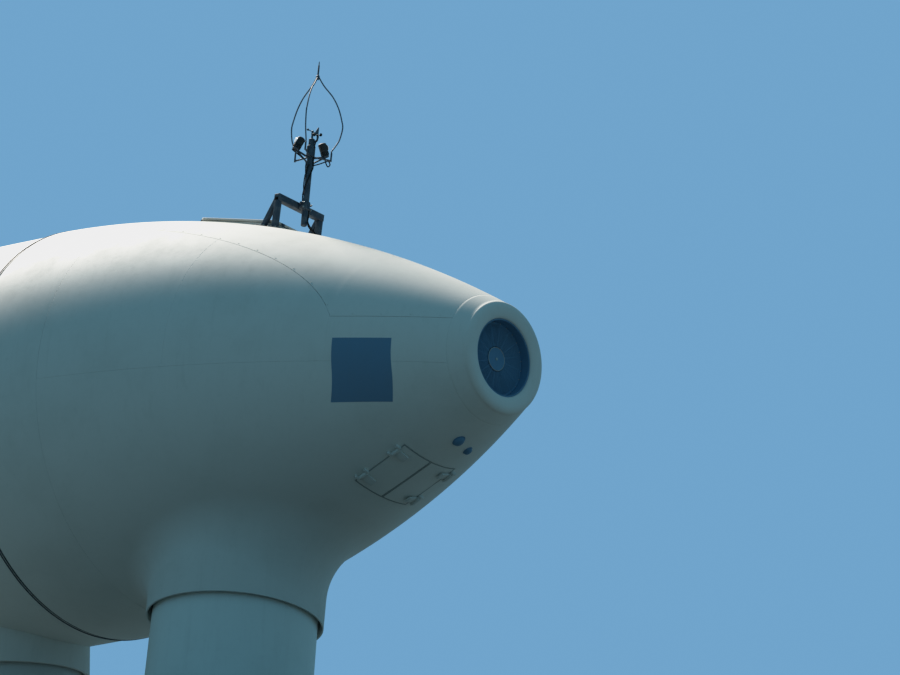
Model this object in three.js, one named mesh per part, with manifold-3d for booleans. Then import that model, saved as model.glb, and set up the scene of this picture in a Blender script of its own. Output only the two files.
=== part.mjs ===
// Wind turbine nacelle of a direct-drive machine, with its spinner and hub and
// the top section of its tower. Millimetres, +Z up, +X towards the tail.
// The origin is the centre of the tower section's lower face.

import * as THREE from 'three';
import { mergeVertices } from 'three/addons/utils/BufferGeometryUtils.js';
import Module from 'manifold-3d';

const wasm = await Module();
wasm.setup();

// Driving dimensions

const SEAT = 0.3;
const ROUND = 32;
const SMALL_ROUND = 16;
const BLADE_ROUND = 20;
const COVER_STEPS = 8;
const FAR = 20000;
const DEG = Math.PI / 180;

const TILT = 2 * DEG;
const COLLAR_BOTTOM = 2000;
const AXIS_HEIGHT = COLLAR_BOTTOM + 2940;
const WALL = 40;

// The cover is a body of revolution whose radius falls off as a parabola.
const EGG_RADIUS = 2660;
const EGG_WIDEST = -2800;
const EGG_LENGTH = 8200;
const GAP_REAR = -2610;
const GAP_FRONT = -2650;
const RING_SEAM = -1400;
const SIDE_SEAM = 450;
const TAIL_SEAM = 4000;
const TAIL_END = 4265;
const HOOD_HALF_WIDTH = 1490;
const HOOD_LOW = 300;
const BELLY_TOP = -300;

const COLLAR_RADIUS = 1130;
const COLLAR_WALL = 20;
const COLLAR_SINK = 14;
const FILLET_REAR = 1000;
const FILLET_FRONT = 300;
const FILLET_STEPS = 5;
const RING_LIP_DEPTH = 140;
const RING_LIP_WIDTH = 25;
const RING_LIP_STEP = 5;

const TOWER_TOP = COLLAR_BOTTOM + 150;
const TOWER_TOP_RADIUS = 1050;
const TOWER_TAPER = 0.0187;
const TOWER_WALL = 40;
const FLANGE_THICK = 40;
const BEARING_RADIUS = 1075;
const BEARING_WIDTH = 200;
const BEARING_TOP = TOWER_TOP + 80;
const TURNTABLE_RADIUS = BEARING_RADIUS - 10;
const TURNTABLE_WIDTH = 250;
const TURNTABLE_TOP = BEARING_TOP + 120;

const CARRIER_HALF_WIDTH = 600;
const CARRIER_HALF_BASE = 780;
const CARRIER_HALF_FACE = 780;

const AXLE_RADIUS = 420;
const AXLE_FLANGE_RADIUS = 760;
const AXLE_TAPER = 200;
const JOURNAL_RADIUS = 355;
const CARRIER_FACE = -1300;
const AXLE_FLANGE = -1500;
const AXLE_TIP = -5160;
const STATOR_REAR = -2160;
const STATOR_FRONT = -2560;
const STATOR_BORE = 2250;
const WEB_REAR = -2300;
const WEB_THICK = 90;
const ROTOR_DISC_BORE = 500;
const ROTOR_DISC_REAR = 190;
const ROTOR_RIM_REAR = 50;

const ROTOR_PLANE = -4300;
const SPINNER_RADIUS = 2640;
const SPINNER_SHOULDER = -3700;
const SPINNER_TIP = -6400;
const NOSE_SEAM = -5450;
const HUB_REAR = -3500;
const HUB_FRONT = -5100;
const HUB_RADIUS = 900;
const HUB_PORT_RADIUS = 760;
const HUB_PORT_END = 1250;
const HUB_CHAMFER = [150, 200];
const BLADE_ANGLES = [50.7, 170.7, 290.7];
const ROOT_RADIUS = 950;
const ROOT_END = 3300;
const ROOT_COLLAR_INNER = 1005;
const ROOT_COLLAR_OUTER = 1055;
const ROOT_COLLAR_END = 2950;
const ROOT_COLLAR_START = 1500;
const ROOT_WALL = 60;
const ROOT_BORE = 500;
const ROOT_FOOT = 120;
const ROOT_FLARE_END = 400;

const FAN_MOUTH_RADIUS = 480;
const DUCT_OUTER = 500;
const DUCT_FRONT = 3600;
const DUCT_REAR = 4220;
const TAIL_LIP_RADIUS = 630;
const TAIL_LIP_DEPTH = TAIL_LIP_RADIUS - DUCT_OUTER;
const TAIL_LIP_START = TAIL_END - 65;
const GUARD_PLANE = 4090;
const GUARD_WIRE = 8;
const GUARD_HOOPS = [360, 250];
const GUARD_RIM = 24;
const GUARD_SPOKES = 8;
const GUARD_PLATE_RADIUS = 155;
const FAN_BLADES = 7;
const FAN_BLADE = { thick: 18, chord: 150, length: 300, pitch: 0.6, middle: 295 };
const FAN_PLANE = 3990;
const FAN_HUB_RADIUS = 150;
const FAN_HUB_HALF = 40;
const FAN_SHAFT_RADIUS = 25;
const MOTOR_RADIUS = 140;
const MOTOR_FRONT = 3680;
const MOTOR_REAR = 3930;
const MOTOR_RING = [3700, 3760];
const MOTOR_RING_WALL = 14;
const MOTOR_STAY = 40;

const HATCH_START = 2365;
const HATCH_END = 3160;
const HATCH_HALF_WIDTH = 490;
const HATCH_GAP = 6;
const HATCH_DEPTH = 300;
const HINGE_STAND_OFF = 32;
const HINGE_PIN = 11;
const HINGE_BARREL = 24;
const HINGE_SIDES = 12;
const HINGE_STATIONS = [-0.32, 0.32];
const HINGE_HALF_BARREL = 56;
const HINGE_EAR = [62, 92];
const HINGE_EAR_FOOT = [-60, -12];
const HINGE_EAR_HEAD = [-60, 14];
const HINGE_EAR_SINK = 28;
const STRAP_REACH = [6, 190];
const STRAP_HEIGHT = [-HINGE_STAND_OFF - 30, -8];

const ROOF_HATCH_CENTRE = -400;
const ROOF_HATCH_LENGTH = 1360;
const ROOF_HATCH_HALF_WIDTH = 330;
const ROOF_HATCH_RISE = 70;
const ROOF_LID_THICK = 35;
const LID_GAP = 5;
const LID_OVERHANG = 20;
const RIM_WALL = 50;
const HATCH_HINGES = [-210, 210];
const LID_PIN_RADIUS = 12;
const LID_BARREL_RADIUS = 24;
const LID_PIN_OUT = 26;
const LID_PIN_UP = 8;
const TAIL_HATCH_CENTRE = 2575;
const TAIL_HATCH_RADIUS = 375;
const COWL_PLACES = [[3630, -10, 65], [3525, 280, 50]];

const BRACKET_X = 345;
const BEAM_Z = 2650;
const BEAM_HALF = 45;
const BEAM_LENGTH = 862;
const LEG_WIDTH = 70;
const BRACE_WIDTH = 60;
const BRACE_FOOT = 210;
const MAST_X = 455;
const MAST_RADIUS = 40;
const MAST_FOOT = BEAM_Z - 270;
const MAST_TOP = 3580;
const CLAMP_WALL = 28;
const CLAMP_HALF = 55;
const LAMP_ANGLES = { left: 248, right: 68 };
const LAMP_TILT = 24 * DEG;
const LAMP_OUT = 175;
const LAMP_Z = 3480;
const LAMP_LENGTH = 170;
const LAMP_RADIUS = 55;
const LENS_RADIUS = 42;
const LENS_REACH = 72;
const LAMP_PAD = 25;
const CAGE_BOTTOM = 3440;
const CAGE_TOP = 4440;
const CAGE_ANGLES = [58, 178, 298];
const CAGE_FOOT_RADIUS = 275;
const CAGE_ARM_Z = 3335;
const CAGE_ROD = 9;
const CAGE_BEND = [
  [24, CAGE_FOOT_RADIUS], [105, 320], [200, 363], [360, 390], [458, 372], [620, 314], [763, 225], [890, 97],
];
const SPIKE_TOP = 4660;
const SPIKE_THICK = 4600;
const CUPS_X = 95;
const CUPS_BASE = MAST_TOP + 6;
const CUP_ARM = 50;
const CUP_RADIUS = 22;
const VANE_BASE = MAST_TOP + 60;

// Materials

const paint = (color, roughness = 0.4, metalness = 0) =>
  new THREE.MeshStandardMaterial({ color, roughness, metalness });
const GELCOAT = () => paint(0xd9dad4, 0.38);
const TOWER_PAINT = () => paint(0xd3d6d2, 0.45);
const CAST_GREY = () => paint(0x6d7376, 0.6, 0.4);
const DARK_GREY = () => paint(0x2b3440, 0.55, 0.2);
const GALVANISED = () => paint(0x5c6468, 0.5, 0.7);
const LAMP_BODY = () => paint(0x2e3338, 0.4, 0.1);
const HATCH_BEIGE = () => paint(0xb4b3a8, 0.6);

// Solids

/** One closed mesh with merged corners, no flat triangles and its faces pointing out. */
function closed(geometry) {
  const bare = new THREE.BufferGeometry();
  bare.setAttribute('position', geometry.getAttribute('position').clone());
  if (geometry.index) bare.setIndex(geometry.index.clone());
  const merged = mergeVertices(bare, 1e-3);
  const corners = Array.from(merged.index.array);
  const kept = [];
  for (let i = 0; i < corners.length; i += 3) {
    const [a, b, c] = corners.slice(i, i + 3);
    if (a !== b && b !== c && c !== a) kept.push(a, b, c);
  }
  merged.setIndex(kept);
  if (volume(merged) < 0) {
    for (let i = 0; i < kept.length; i += 3) [kept[i], kept[i + 1]] = [kept[i + 1], kept[i]];
    merged.setIndex(kept);
  }
  return merged;
}

function volume(geometry) {
  const place = geometry.getAttribute('position');
  const index = geometry.index.array;
  const [a, b, c] = [new THREE.Vector3(), new THREE.Vector3(), new THREE.Vector3()];
  let sum = 0;
  for (let i = 0; i < index.length; i += 3) {
    a.fromBufferAttribute(place, index[i]);
    b.fromBufferAttribute(place, index[i + 1]);
    c.fromBufferAttribute(place, index[i + 2]);
    sum += a.dot(b.cross(c)) / 6;
  }
  return sum;
}

function solid(geometry) {
  const mesh = closed(geometry);
  const body = new wasm.Mesh({
    numProp: 3,
    vertProperties: new Float32Array(mesh.getAttribute('position').array),
    triVerts: new Uint32Array(mesh.index.array),
  });
  return new wasm.Manifold(body);
}

function geometryOf(manifold) {
  const mesh = manifold.getMesh();
  const geometry = new THREE.BufferGeometry();
  const places = new Float32Array(mesh.vertProperties);
  geometry.setAttribute('position', new THREE.BufferAttribute(places, 3));
  geometry.setIndex(Array.from(mesh.triVerts));
  return geometry;
}

/** A solid box between two corners. */
function block(low, high) {
  const size = high.map((value, i) => value - low[i]);
  const geometry = new THREE.BoxGeometry(...size);
  geometry.translate(...high.map((value, i) => (value + low[i]) / 2));
  return solid(geometry);
}

/** A closed profile of [along, radius] points, spun about the X axis. */
function spinX(profile, segments = ROUND) {
  const points = [...profile, profile[0]].map(([along, radius]) => new THREE.Vector2(radius, along));
  return new THREE.LatheGeometry(points, segments).rotateZ(-Math.PI / 2);
}

/** The same about the Z axis. */
function spinZ(profile, segments = ROUND) {
  const points = [...profile, profile[0]].map(([along, radius]) => new THREE.Vector2(radius, along));
  return new THREE.LatheGeometry(points, segments).rotateX(Math.PI / 2);
}

/** A round bar between two points. */
function bar(from, to, radius, sides = 12) {
  const start = new THREE.Vector3(...from);
  const along = new THREE.Vector3(...to).sub(start);
  const geometry = new THREE.CylinderGeometry(radius, radius, along.length(), sides);
  geometry.translate(0, along.length() / 2, 0);
  geometry.applyQuaternion(new THREE.Quaternion().setFromUnitVectors(
    new THREE.Vector3(0, 1, 0), along.clone().normalize()));
  geometry.translate(...from);
  return solid(geometry);
}

/** A square tube or bar between two points of the cross plane of the nacelle. */
function beam(from, to, width) {
  const start = new THREE.Vector3(...from);
  const along = new THREE.Vector3(...to).sub(start);
  const geometry = new THREE.BoxGeometry(width, along.length(), width);
  geometry.translate(0, along.length() / 2, 0);
  geometry.applyQuaternion(new THREE.Quaternion().setFromUnitVectors(
    new THREE.Vector3(0, 1, 0), along.clone().normalize()));
  geometry.translate(...from);
  return solid(geometry);
}

/** A round rod that follows a curve. */
function rod(points, radius, steps, sides = 6) {
  const section = new THREE.Shape();
  for (let i = 0; i < sides; i += 1) {
    const angle = (i / sides) * 2 * Math.PI;
    section[i ? 'lineTo' : 'moveTo'](radius * Math.cos(angle), radius * Math.sin(angle));
  }
  const path = new THREE.CatmullRomCurve3(points.map((p) => new THREE.Vector3(...p)));
  return solid(new THREE.ExtrudeGeometry(section, { steps, extrudePath: path, bevelEnabled: false }));
}

function union(...solids) {
  return solids.reduce((whole, piece) => whole.add(piece));
}

/** Keeps a cut stretch of a solid between two planes that are square to X. */
function between(body, front, rear) {
  return body.intersect(block([front, -FAR, -FAR], [rear, FAR, FAR]));
}

// Shape of the cover

const eggRadius = (s) => EGG_RADIUS * (1 - ((s - EGG_WIDEST) / EGG_LENGTH) ** 2);
const spinnerRadius = (s) => (s > SPINNER_SHOULDER
  ? SPINNER_RADIUS
  : SPINNER_RADIUS * Math.sqrt(1 - ((s - SPINNER_SHOULDER) / (SPINNER_TIP - SPINNER_SHOULDER)) ** 2));

function stations(from, to, count) {
  return Array.from({ length: count + 1 }, (_, i) => from + ((to - from) * i) / count);
}

// Every wall that follows the cover or the spinner has its edges at these stations.
const COVER_STATIONS = stations(GAP_REAR, TAIL_SEAM, COVER_STEPS);
const SPINNER_STATIONS = [GAP_FRONT, SPINNER_SHOULDER, ...stations(SPINNER_SHOULDER, NOSE_SEAM, 5).slice(1)];

/** Radius of the faceted cover between two of its stations. */
function facetRadius(s) {
  const i = Math.min(Math.max(COVER_STATIONS.findIndex((place) => place > s), 1), COVER_STEPS);
  const [from, to] = [COVER_STATIONS[i - 1], COVER_STATIONS[i]];
  return THREE.MathUtils.mapLinear(s, from, to, eggRadius(from), eggRadius(to));
}

/** A wall that follows a radius law over its stations. */
function skin(law, places, wall) {
  const outer = places.map((s) => [s, law(s)]);
  const inner = places.map((s) => [s, law(s) - wall]).reverse();
  return spinX([...outer, ...inner]);
}

/** The full body inside a radius law, grown or shrunk by an offset. */
function core(law, places, offset) {
  const outer = places.map((s) => [s, law(s) + offset]);
  return solid(spinX([[places[0], 0], ...outer, [places[places.length - 1], 0]]));
}

/** A place given along, across and above the rotor axis, in the tower's frame. */
function fromAxis(s, y, z) {
  return [s * Math.cos(TILT) + z * Math.sin(TILT), y, AXIS_HEIGHT - s * Math.sin(TILT) + z * Math.cos(TILT)];
}

/** Height of the cover's underside over a plan point, with the cover shrunk by an offset. */
function undersideAt(x, y, offset) {
  let z = -EGG_RADIUS;
  let s = x;
  for (let i = 0; i < 12; i += 1) {
    s = (x - z * Math.sin(TILT)) / Math.cos(TILT);
    const radius = eggRadius(s) + offset;
    z = -Math.sqrt(Math.max(0, radius ** 2 - y ** 2));
  }
  return AXIS_HEIGHT - s * Math.sin(TILT) + z * Math.cos(TILT);
}

/** Centre height and end angle of the fillet that joins the collar wall to the underside. */
function collarFillet(azimuth, wallRadius, fillet, offset) {
  const centre = wallRadius + fillet;
  const clearance = (height) => {
    let nearest = Infinity;
    let end = 0;
    for (let angle = 40; angle <= 110; angle += 1) {
      const radius = centre - fillet * Math.cos(angle * DEG);
      const top = height + fillet * Math.sin(angle * DEG);
      const free = undersideAt(radius * Math.cos(azimuth), radius * Math.sin(azimuth), offset) - top;
      if (free < nearest) {
        nearest = free;
        end = angle;
      }
    }
    return { nearest, end };
  };
  let low = COLLAR_BOTTOM - EGG_RADIUS;
  let high = COLLAR_BOTTOM + EGG_RADIUS;
  for (let i = 0; i < 30; i += 1) {
    const middle = (low + high) / 2;
    if (clearance(middle).nearest > 0) low = middle;
    else high = middle;
  }
  return { height: low, end: clearance(low).end * DEG };
}

/** The flared plug that the collar's outer or inner face bounds. */
function collarPlug(wallRadius, grow, offset, bottom) {
  const rows = [];
  const top = AXIS_HEIGHT - TOWER_TOP_RADIUS;
  for (let i = 0; i < ROUND; i += 1) {
    const azimuth = (i / ROUND) * 2 * Math.PI;
    const rearness = (1 + Math.cos(azimuth)) / 2;
    const fillet = FILLET_FRONT + (FILLET_REAR - FILLET_FRONT) * rearness + grow;
    const { height, end } = collarFillet(azimuth, wallRadius, fillet, offset);
    const row = [[0, bottom], [wallRadius, bottom]];
    for (let k = 0; k <= FILLET_STEPS; k += 1) {
      const angle = (end * k) / FILLET_STEPS;
      const rise = Math.max(height + fillet * Math.sin(angle), bottom + 1 + k);
      row.push([wallRadius + fillet * (1 - Math.cos(angle)), rise]);
    }
    row.push([row[row.length - 1][0] * 0.9, top], [0, top]);
    rows.push(row.map(([radius, z]) => [radius * Math.cos(azimuth), radius * Math.sin(azimuth), z]));
  }
  const count = rows[0].length;
  const corners = rows.flat(2);
  const faces = [];
  for (let i = 0; i < ROUND; i += 1) {
    const next = (i + 1) % ROUND;
    for (let k = 0; k + 1 < count; k += 1) {
      const [a, b] = [i * count + k, next * count + k];
      faces.push(a, b, b + 1, a, b + 1, a + 1);
    }
  }
  const geometry = new THREE.BufferGeometry();
  geometry.setAttribute('position', new THREE.Float32BufferAttribute(corners, 3));
  geometry.setIndex(faces);
  return solid(geometry);
}

// Moves a solid from the tower's frame to the tilted frame of the nacelle.
const toNacelle = new THREE.Matrix4().makeRotationY(TILT).setPosition(0, 0, AXIS_HEIGHT).invert();

function placed(manifold, matrix) {
  return solid(geometryOf(manifold).applyMatrix4(matrix));
}

const inNacelle = (manifold) => placed(manifold, toNacelle);

// Scene graph

const upright = new THREE.Group();
const tilted = new THREE.Group();
tilted.position.z = AXIS_HEIGHT;
tilted.rotation.y = TILT;
// The mast stands plumb on the tilted roof. Heights on it are above the rotor axis, as on the bracket.
const plumb = new THREE.Group();
plumb.position.set(...fromAxis(MAST_X, 0, BEAM_Z));
plumb.position.z -= BEAM_Z;
const part = new THREE.Group();
part.add(upright, tilted, plumb);

function place(group, name, shape, material) {
  const geometry = shape instanceof THREE.BufferGeometry ? closed(shape) : geometryOf(shape);
  const mesh = new THREE.Mesh(geometry, material());
  mesh.name = name;
  group.add(mesh);
}

// Tower

const towerRadius = (z) => TOWER_TOP_RADIUS + (TOWER_TOP - z) * TOWER_TAPER;

/** A flat ring about the tower's axis. */
function flatRing(bottom, top, outer, width) {
  return spinZ([[bottom, outer - width], [bottom, outer], [top, outer], [top, outer - width]]);
}

function towerSection() {
  const low = FLANGE_THICK + SEAT;
  place(upright, 'tower_flange_plate', spinZ([
    [0, 0], [0, towerRadius(0)], [FLANGE_THICK, towerRadius(FLANGE_THICK)], [FLANGE_THICK, 0],
  ]), TOWER_PAINT);
  place(upright, 'tower_section', spinZ([
    [low, towerRadius(low)], [TOWER_TOP, towerRadius(TOWER_TOP)],
    [TOWER_TOP, TOWER_TOP_RADIUS - TOWER_WALL], [low, towerRadius(low) - TOWER_WALL],
  ]), TOWER_PAINT);
  place(upright, 'yaw_bearing', flatRing(TOWER_TOP + SEAT, BEARING_TOP, BEARING_RADIUS, BEARING_WIDTH), DARK_GREY);
}

// Load-carrying frame

function carrier() {
  place(upright, 'yaw_turntable',
    flatRing(BEARING_TOP + SEAT, TURNTABLE_TOP, TURNTABLE_RADIUS, TURNTABLE_WIDTH), CAST_GREY);
  const base = TURNTABLE_TOP + SEAT;
  const [faceTop, faceBottom] = [1, -1].map((side) => fromAxis(CARRIER_FACE, 0, side * CARRIER_HALF_FACE));
  const profile = [
    [-CARRIER_HALF_BASE, base], [CARRIER_HALF_BASE, base], [660, base + 550], [-250, AXIS_HEIGHT + 560],
    [faceTop[0], faceTop[2]], [faceBottom[0], faceBottom[2]], [-950, base + 450],
  ];
  const outline = new THREE.Shape(profile.map(([x, z]) => new THREE.Vector2(x, z)));
  const casting = new THREE.ExtrudeGeometry(outline, { depth: 2 * CARRIER_HALF_WIDTH, bevelEnabled: false });
  casting.rotateX(Math.PI / 2).translate(0, CARRIER_HALF_WIDTH, 0);
  place(upright, 'main_carrier', casting, CAST_GREY);
}

function axle() {
  const rear = CARRIER_FACE - SEAT;
  place(tilted, 'axle_pin', spinX([
    [rear, 0], [rear, AXLE_FLANGE_RADIUS], [AXLE_FLANGE, AXLE_FLANGE_RADIUS], [AXLE_FLANGE - AXLE_TAPER, AXLE_RADIUS],
    [HUB_REAR + SEAT, AXLE_RADIUS], [HUB_REAR + SEAT, JOURNAL_RADIUS], [AXLE_TIP, JOURNAL_RADIUS], [AXLE_TIP, 0],
  ]), CAST_GREY);
  const inner = (s) => facetRadius(s) - WALL - SEAT;
  const bore = AXLE_RADIUS + SEAT;
  place(tilted, 'generator_stator', spinX([
    [STATOR_FRONT, inner(STATOR_FRONT)], [STATOR_REAR, inner(STATOR_REAR)], [STATOR_REAR, STATOR_BORE],
    [WEB_REAR, STATOR_BORE], [WEB_REAR, bore], [WEB_REAR - WEB_THICK, bore],
    [WEB_REAR - WEB_THICK, STATOR_BORE], [STATOR_FRONT, STATOR_BORE],
  ]), CAST_GREY);
}

// Openings in the cover

// The floor opening is cut square to the hinges, so that the leaves swing clear of its ends.
const hatchEdgeHeight = (s) => -Math.sqrt(eggRadius(s) ** 2 - HATCH_HALF_WIDTH ** 2);
const hatchRise = hatchEdgeHeight(HATCH_END) - hatchEdgeHeight(HATCH_START);
const hatchLength = Math.hypot(HATCH_END - HATCH_START, hatchRise);
const onFloorHatch = new THREE.Matrix4()
  .makeRotationY(-Math.atan2(hatchRise, HATCH_END - HATCH_START))
  .setPosition((HATCH_START + HATCH_END) / 2, 0, (hatchEdgeHeight(HATCH_START) + hatchEdgeHeight(HATCH_END)) / 2);

/** A block across the floor opening, drawn in from its two ends by a gap. */
function hatchBlock(gap, left, right) {
  const half = hatchLength / 2 - gap;
  return placed(block([-half, left, -HATCH_DEPTH], [half, right, HATCH_DEPTH]), onFloorHatch);
}

const roofHatchHole = block(
  [ROOF_HATCH_CENTRE - ROOF_HATCH_LENGTH / 2 + 2 * RIM_WALL, -ROOF_HATCH_HALF_WIDTH + 2 * RIM_WALL, 0],
  [ROOF_HATCH_CENTRE + ROOF_HATCH_LENGTH / 2 - 2 * RIM_WALL, ROOF_HATCH_HALF_WIDTH - 2 * RIM_WALL, FAR]);
const tailHatchHole = (radius) => bar([TAIL_HATCH_CENTRE, 0, 0], [TAIL_HATCH_CENTRE, 0, EGG_RADIUS], radius, ROUND);

/** A frame along the hinge of one floor leaf: x along the hinge, z out of the skin. */
function hingeFrame(side) {
  const y = side * HATCH_HALF_WIDTH;
  const start = new THREE.Vector3(HATCH_START, y, hatchEdgeHeight(HATCH_START));
  const end = new THREE.Vector3(HATCH_END, y, hatchEdgeHeight(HATCH_END));
  const along = end.clone().sub(start).normalize();
  const middle = start.clone().add(end).multiplyScalar(0.5);
  const out = new THREE.Vector3(0, y, middle.z).normalize();
  out.addScaledVector(along, -out.dot(along)).normalize();
  const across = out.clone().cross(along);
  const bulge = eggRadius(middle.x) - Math.hypot(y, middle.z);
  middle.addScaledVector(out, HINGE_STAND_OFF + bulge);
  return {
    matrix: new THREE.Matrix4().makeBasis(along, across, out).setPosition(middle),
    inward: Math.sign(-side * across.y),
  };
}

/** A block of a hinge, given along it, towards the leaf and out of the skin. */
function hingeBlock(frame, [near, far], reach, [low, high]) {
  const [left, right] = reach.map((value) => frame.inward * value).sort((a, b) => a - b);
  return block([near, left, low], [far, right, high]);
}

/** The two fixed ears and pin of each hinge, which stay with the belly. */
function hingeEars(side) {
  const frame = hingeFrame(side);
  const [earNear, earFar] = HINGE_EAR;
  return HINGE_STATIONS.flatMap((share) => {
    const x = share * hatchLength;
    const pin = bar([x - earFar, 0, 0], [x + earFar, 0, 0], HINGE_PIN, HINGE_SIDES);
    const ears = [[x - earFar, x - earNear], [x + earNear, x + earFar]].map((ends) => union(
      hingeBlock(frame, ends, HINGE_EAR_FOOT, [-HINGE_STAND_OFF - HINGE_EAR_SINK, 0]),
      hingeBlock(frame, ends, HINGE_EAR_HEAD, [-HINGE_EAR_HEAD[1], HINGE_EAR_HEAD[1]]),
    ));
    return [pin, ...ears].map((piece) => placed(piece, frame.matrix));
  });
}

/** The barrel and strap of each hinge, which swing with the leaf. */
function hingeStraps(side) {
  const frame = hingeFrame(side);
  const bore = (HINGE_PIN + SEAT) / Math.cos(Math.PI / HINGE_SIDES);
  return HINGE_STATIONS.map((share) => {
    const x = share * hatchLength;
    const ends = [x - HINGE_HALF_BARREL, x + HINGE_HALF_BARREL];
    const barrel = bar([ends[0], 0, 0], [ends[1], 0, 0], HINGE_BARREL, HINGE_SIDES);
    const strap = hingeBlock(frame, ends, STRAP_REACH, STRAP_HEIGHT);
    const hole = bar([x - HINGE_EAR[1], 0, 0], [x + HINGE_EAR[1], 0, 0], bore, HINGE_SIDES);
    return placed(union(barrel, strap).subtract(hole), frame.matrix);
  });
}

// Cover

function cover() {
  const shell = solid(skin(eggRadius, COVER_STATIONS, WALL));
  const edge = SEAT / 2;
  const [lipTop, lipFoot] = [RING_LIP_STEP, RING_LIP_DEPTH].map((step) => eggRadius(GAP_REAR) - step);
  const lip = solid(spinX([
    [GAP_REAR, lipFoot], [GAP_REAR, lipTop],
    [GAP_REAR + RING_LIP_WIDTH, lipTop], [GAP_REAR + RING_LIP_WIDTH, lipFoot],
  ]));
  place(tilted, 'front_ring', between(shell, GAP_REAR, RING_SEAM - edge).add(lip), GELCOAT);

  const rear = between(shell, RING_SEAM + edge, TAIL_SEAM);
  const hoodBlock = block([-FAR, -HOOD_HALF_WIDTH + edge, HOOD_LOW + edge], [FAR, HOOD_HALF_WIDTH - edge, FAR]);
  const hood = rear.intersect(hoodBlock).subtract(roofHatchHole).subtract(tailHatchHole(TAIL_HATCH_RADIUS));
  place(tilted, 'roof_hood', hood, GELCOAT);

  const aroundHood = block([-FAR, -HOOD_HALF_WIDTH - edge, HOOD_LOW - edge], [FAR, HOOD_HALF_WIDTH + edge, FAR]);
  const sides = rear.intersect(block([-FAR, -FAR, BELLY_TOP + edge], [FAR, FAR, FAR])).subtract(aroundHood);
  for (const [word, low, high] of [['left', -FAR, 0], ['right', 0, FAR]]) {
    const half = sides.intersect(block([-FAR, low, -FAR], [FAR, high, FAR]));
    place(tilted, `side_panel_front_${word}`, between(half, RING_SEAM, SIDE_SEAM - edge), GELCOAT);
    place(tilted, `side_panel_rear_${word}`, between(half, SIDE_SEAM + edge, TAIL_SEAM), GELCOAT);
  }

  const outerPlug = inNacelle(collarPlug(COLLAR_RADIUS, 0, -COLLAR_SINK, COLLAR_BOTTOM));
  const innerPlug = inNacelle(collarPlug(COLLAR_RADIUS - COLLAR_WALL, COLLAR_WALL / 2, -WALL, COLLAR_BOTTOM - 200));
  const collar = outerPlug.subtract(core(eggRadius, COVER_STATIONS, -WALL));
  const belly = between(union(rear, collar).subtract(innerPlug), RING_SEAM + edge, TAIL_SEAM)
    .intersect(block([-FAR, -FAR, -FAR], [FAR, FAR, BELLY_TOP - edge]))
    .subtract(hatchBlock(0, -HATCH_HALF_WIDTH, HATCH_HALF_WIDTH));
  place(tilted, 'belly_shell', union(belly, ...hingeEars(-1), ...hingeEars(1)), GELCOAT);

  for (const [word, side] of [['left', -1], ['right', 1]]) {
    const [low, high] = [side * HATCH_GAP / 2, side * (HATCH_HALF_WIDTH - HATCH_GAP)].sort((a, b) => a - b);
    const leaf = rear.intersect(hatchBlock(HATCH_GAP, low, high));
    place(tilted, `floor_hatch_${word}`, union(leaf, ...hingeStraps(side)), GELCOAT);
  }
}

function tailEnd() {
  const rise = eggRadius(TAIL_LIP_START) - TAIL_LIP_RADIUS;
  const quarter = Math.PI / 2;
  const outside = stations(0, quarter, 4).map((angle) => [
    TAIL_LIP_START + (TAIL_END - TAIL_LIP_START) * Math.sin(angle), TAIL_LIP_RADIUS + rise * Math.cos(angle)]);
  const inside = stations(0, quarter, 3).slice(1).map((angle) => [
    DUCT_REAR + (TAIL_END - DUCT_REAR) * Math.cos(angle), TAIL_LIP_RADIUS - TAIL_LIP_DEPTH * Math.sin(angle)]);
  place(tilted, 'tail_ring', spinX([
    [TAIL_SEAM + SEAT, eggRadius(TAIL_SEAM)], ...outside, ...inside, [TAIL_SEAM + SEAT, DUCT_OUTER],
  ]), GELCOAT);
  const ductOutside = DUCT_OUTER - 2 * SEAT;
  place(tilted, 'fan_duct', spinX([
    [DUCT_FRONT, ductOutside], [DUCT_REAR, ductOutside],
    [DUCT_REAR, FAN_MOUTH_RADIUS], [DUCT_FRONT, FAN_MOUTH_RADIUS],
  ]), DARK_GREY);
}

const axial = (from, to, radius, sides = SMALL_ROUND) => bar([from, 0, 0], [to, 0, 0], radius, sides);

/** A square bar along a radius of the fan. */
function radial(plane, from, to, angle, width) {
  const [y, z] = [Math.sin(angle), Math.cos(angle)];
  return beam([plane, from * y, from * z], [plane, to * y, to * z], width);
}

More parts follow.
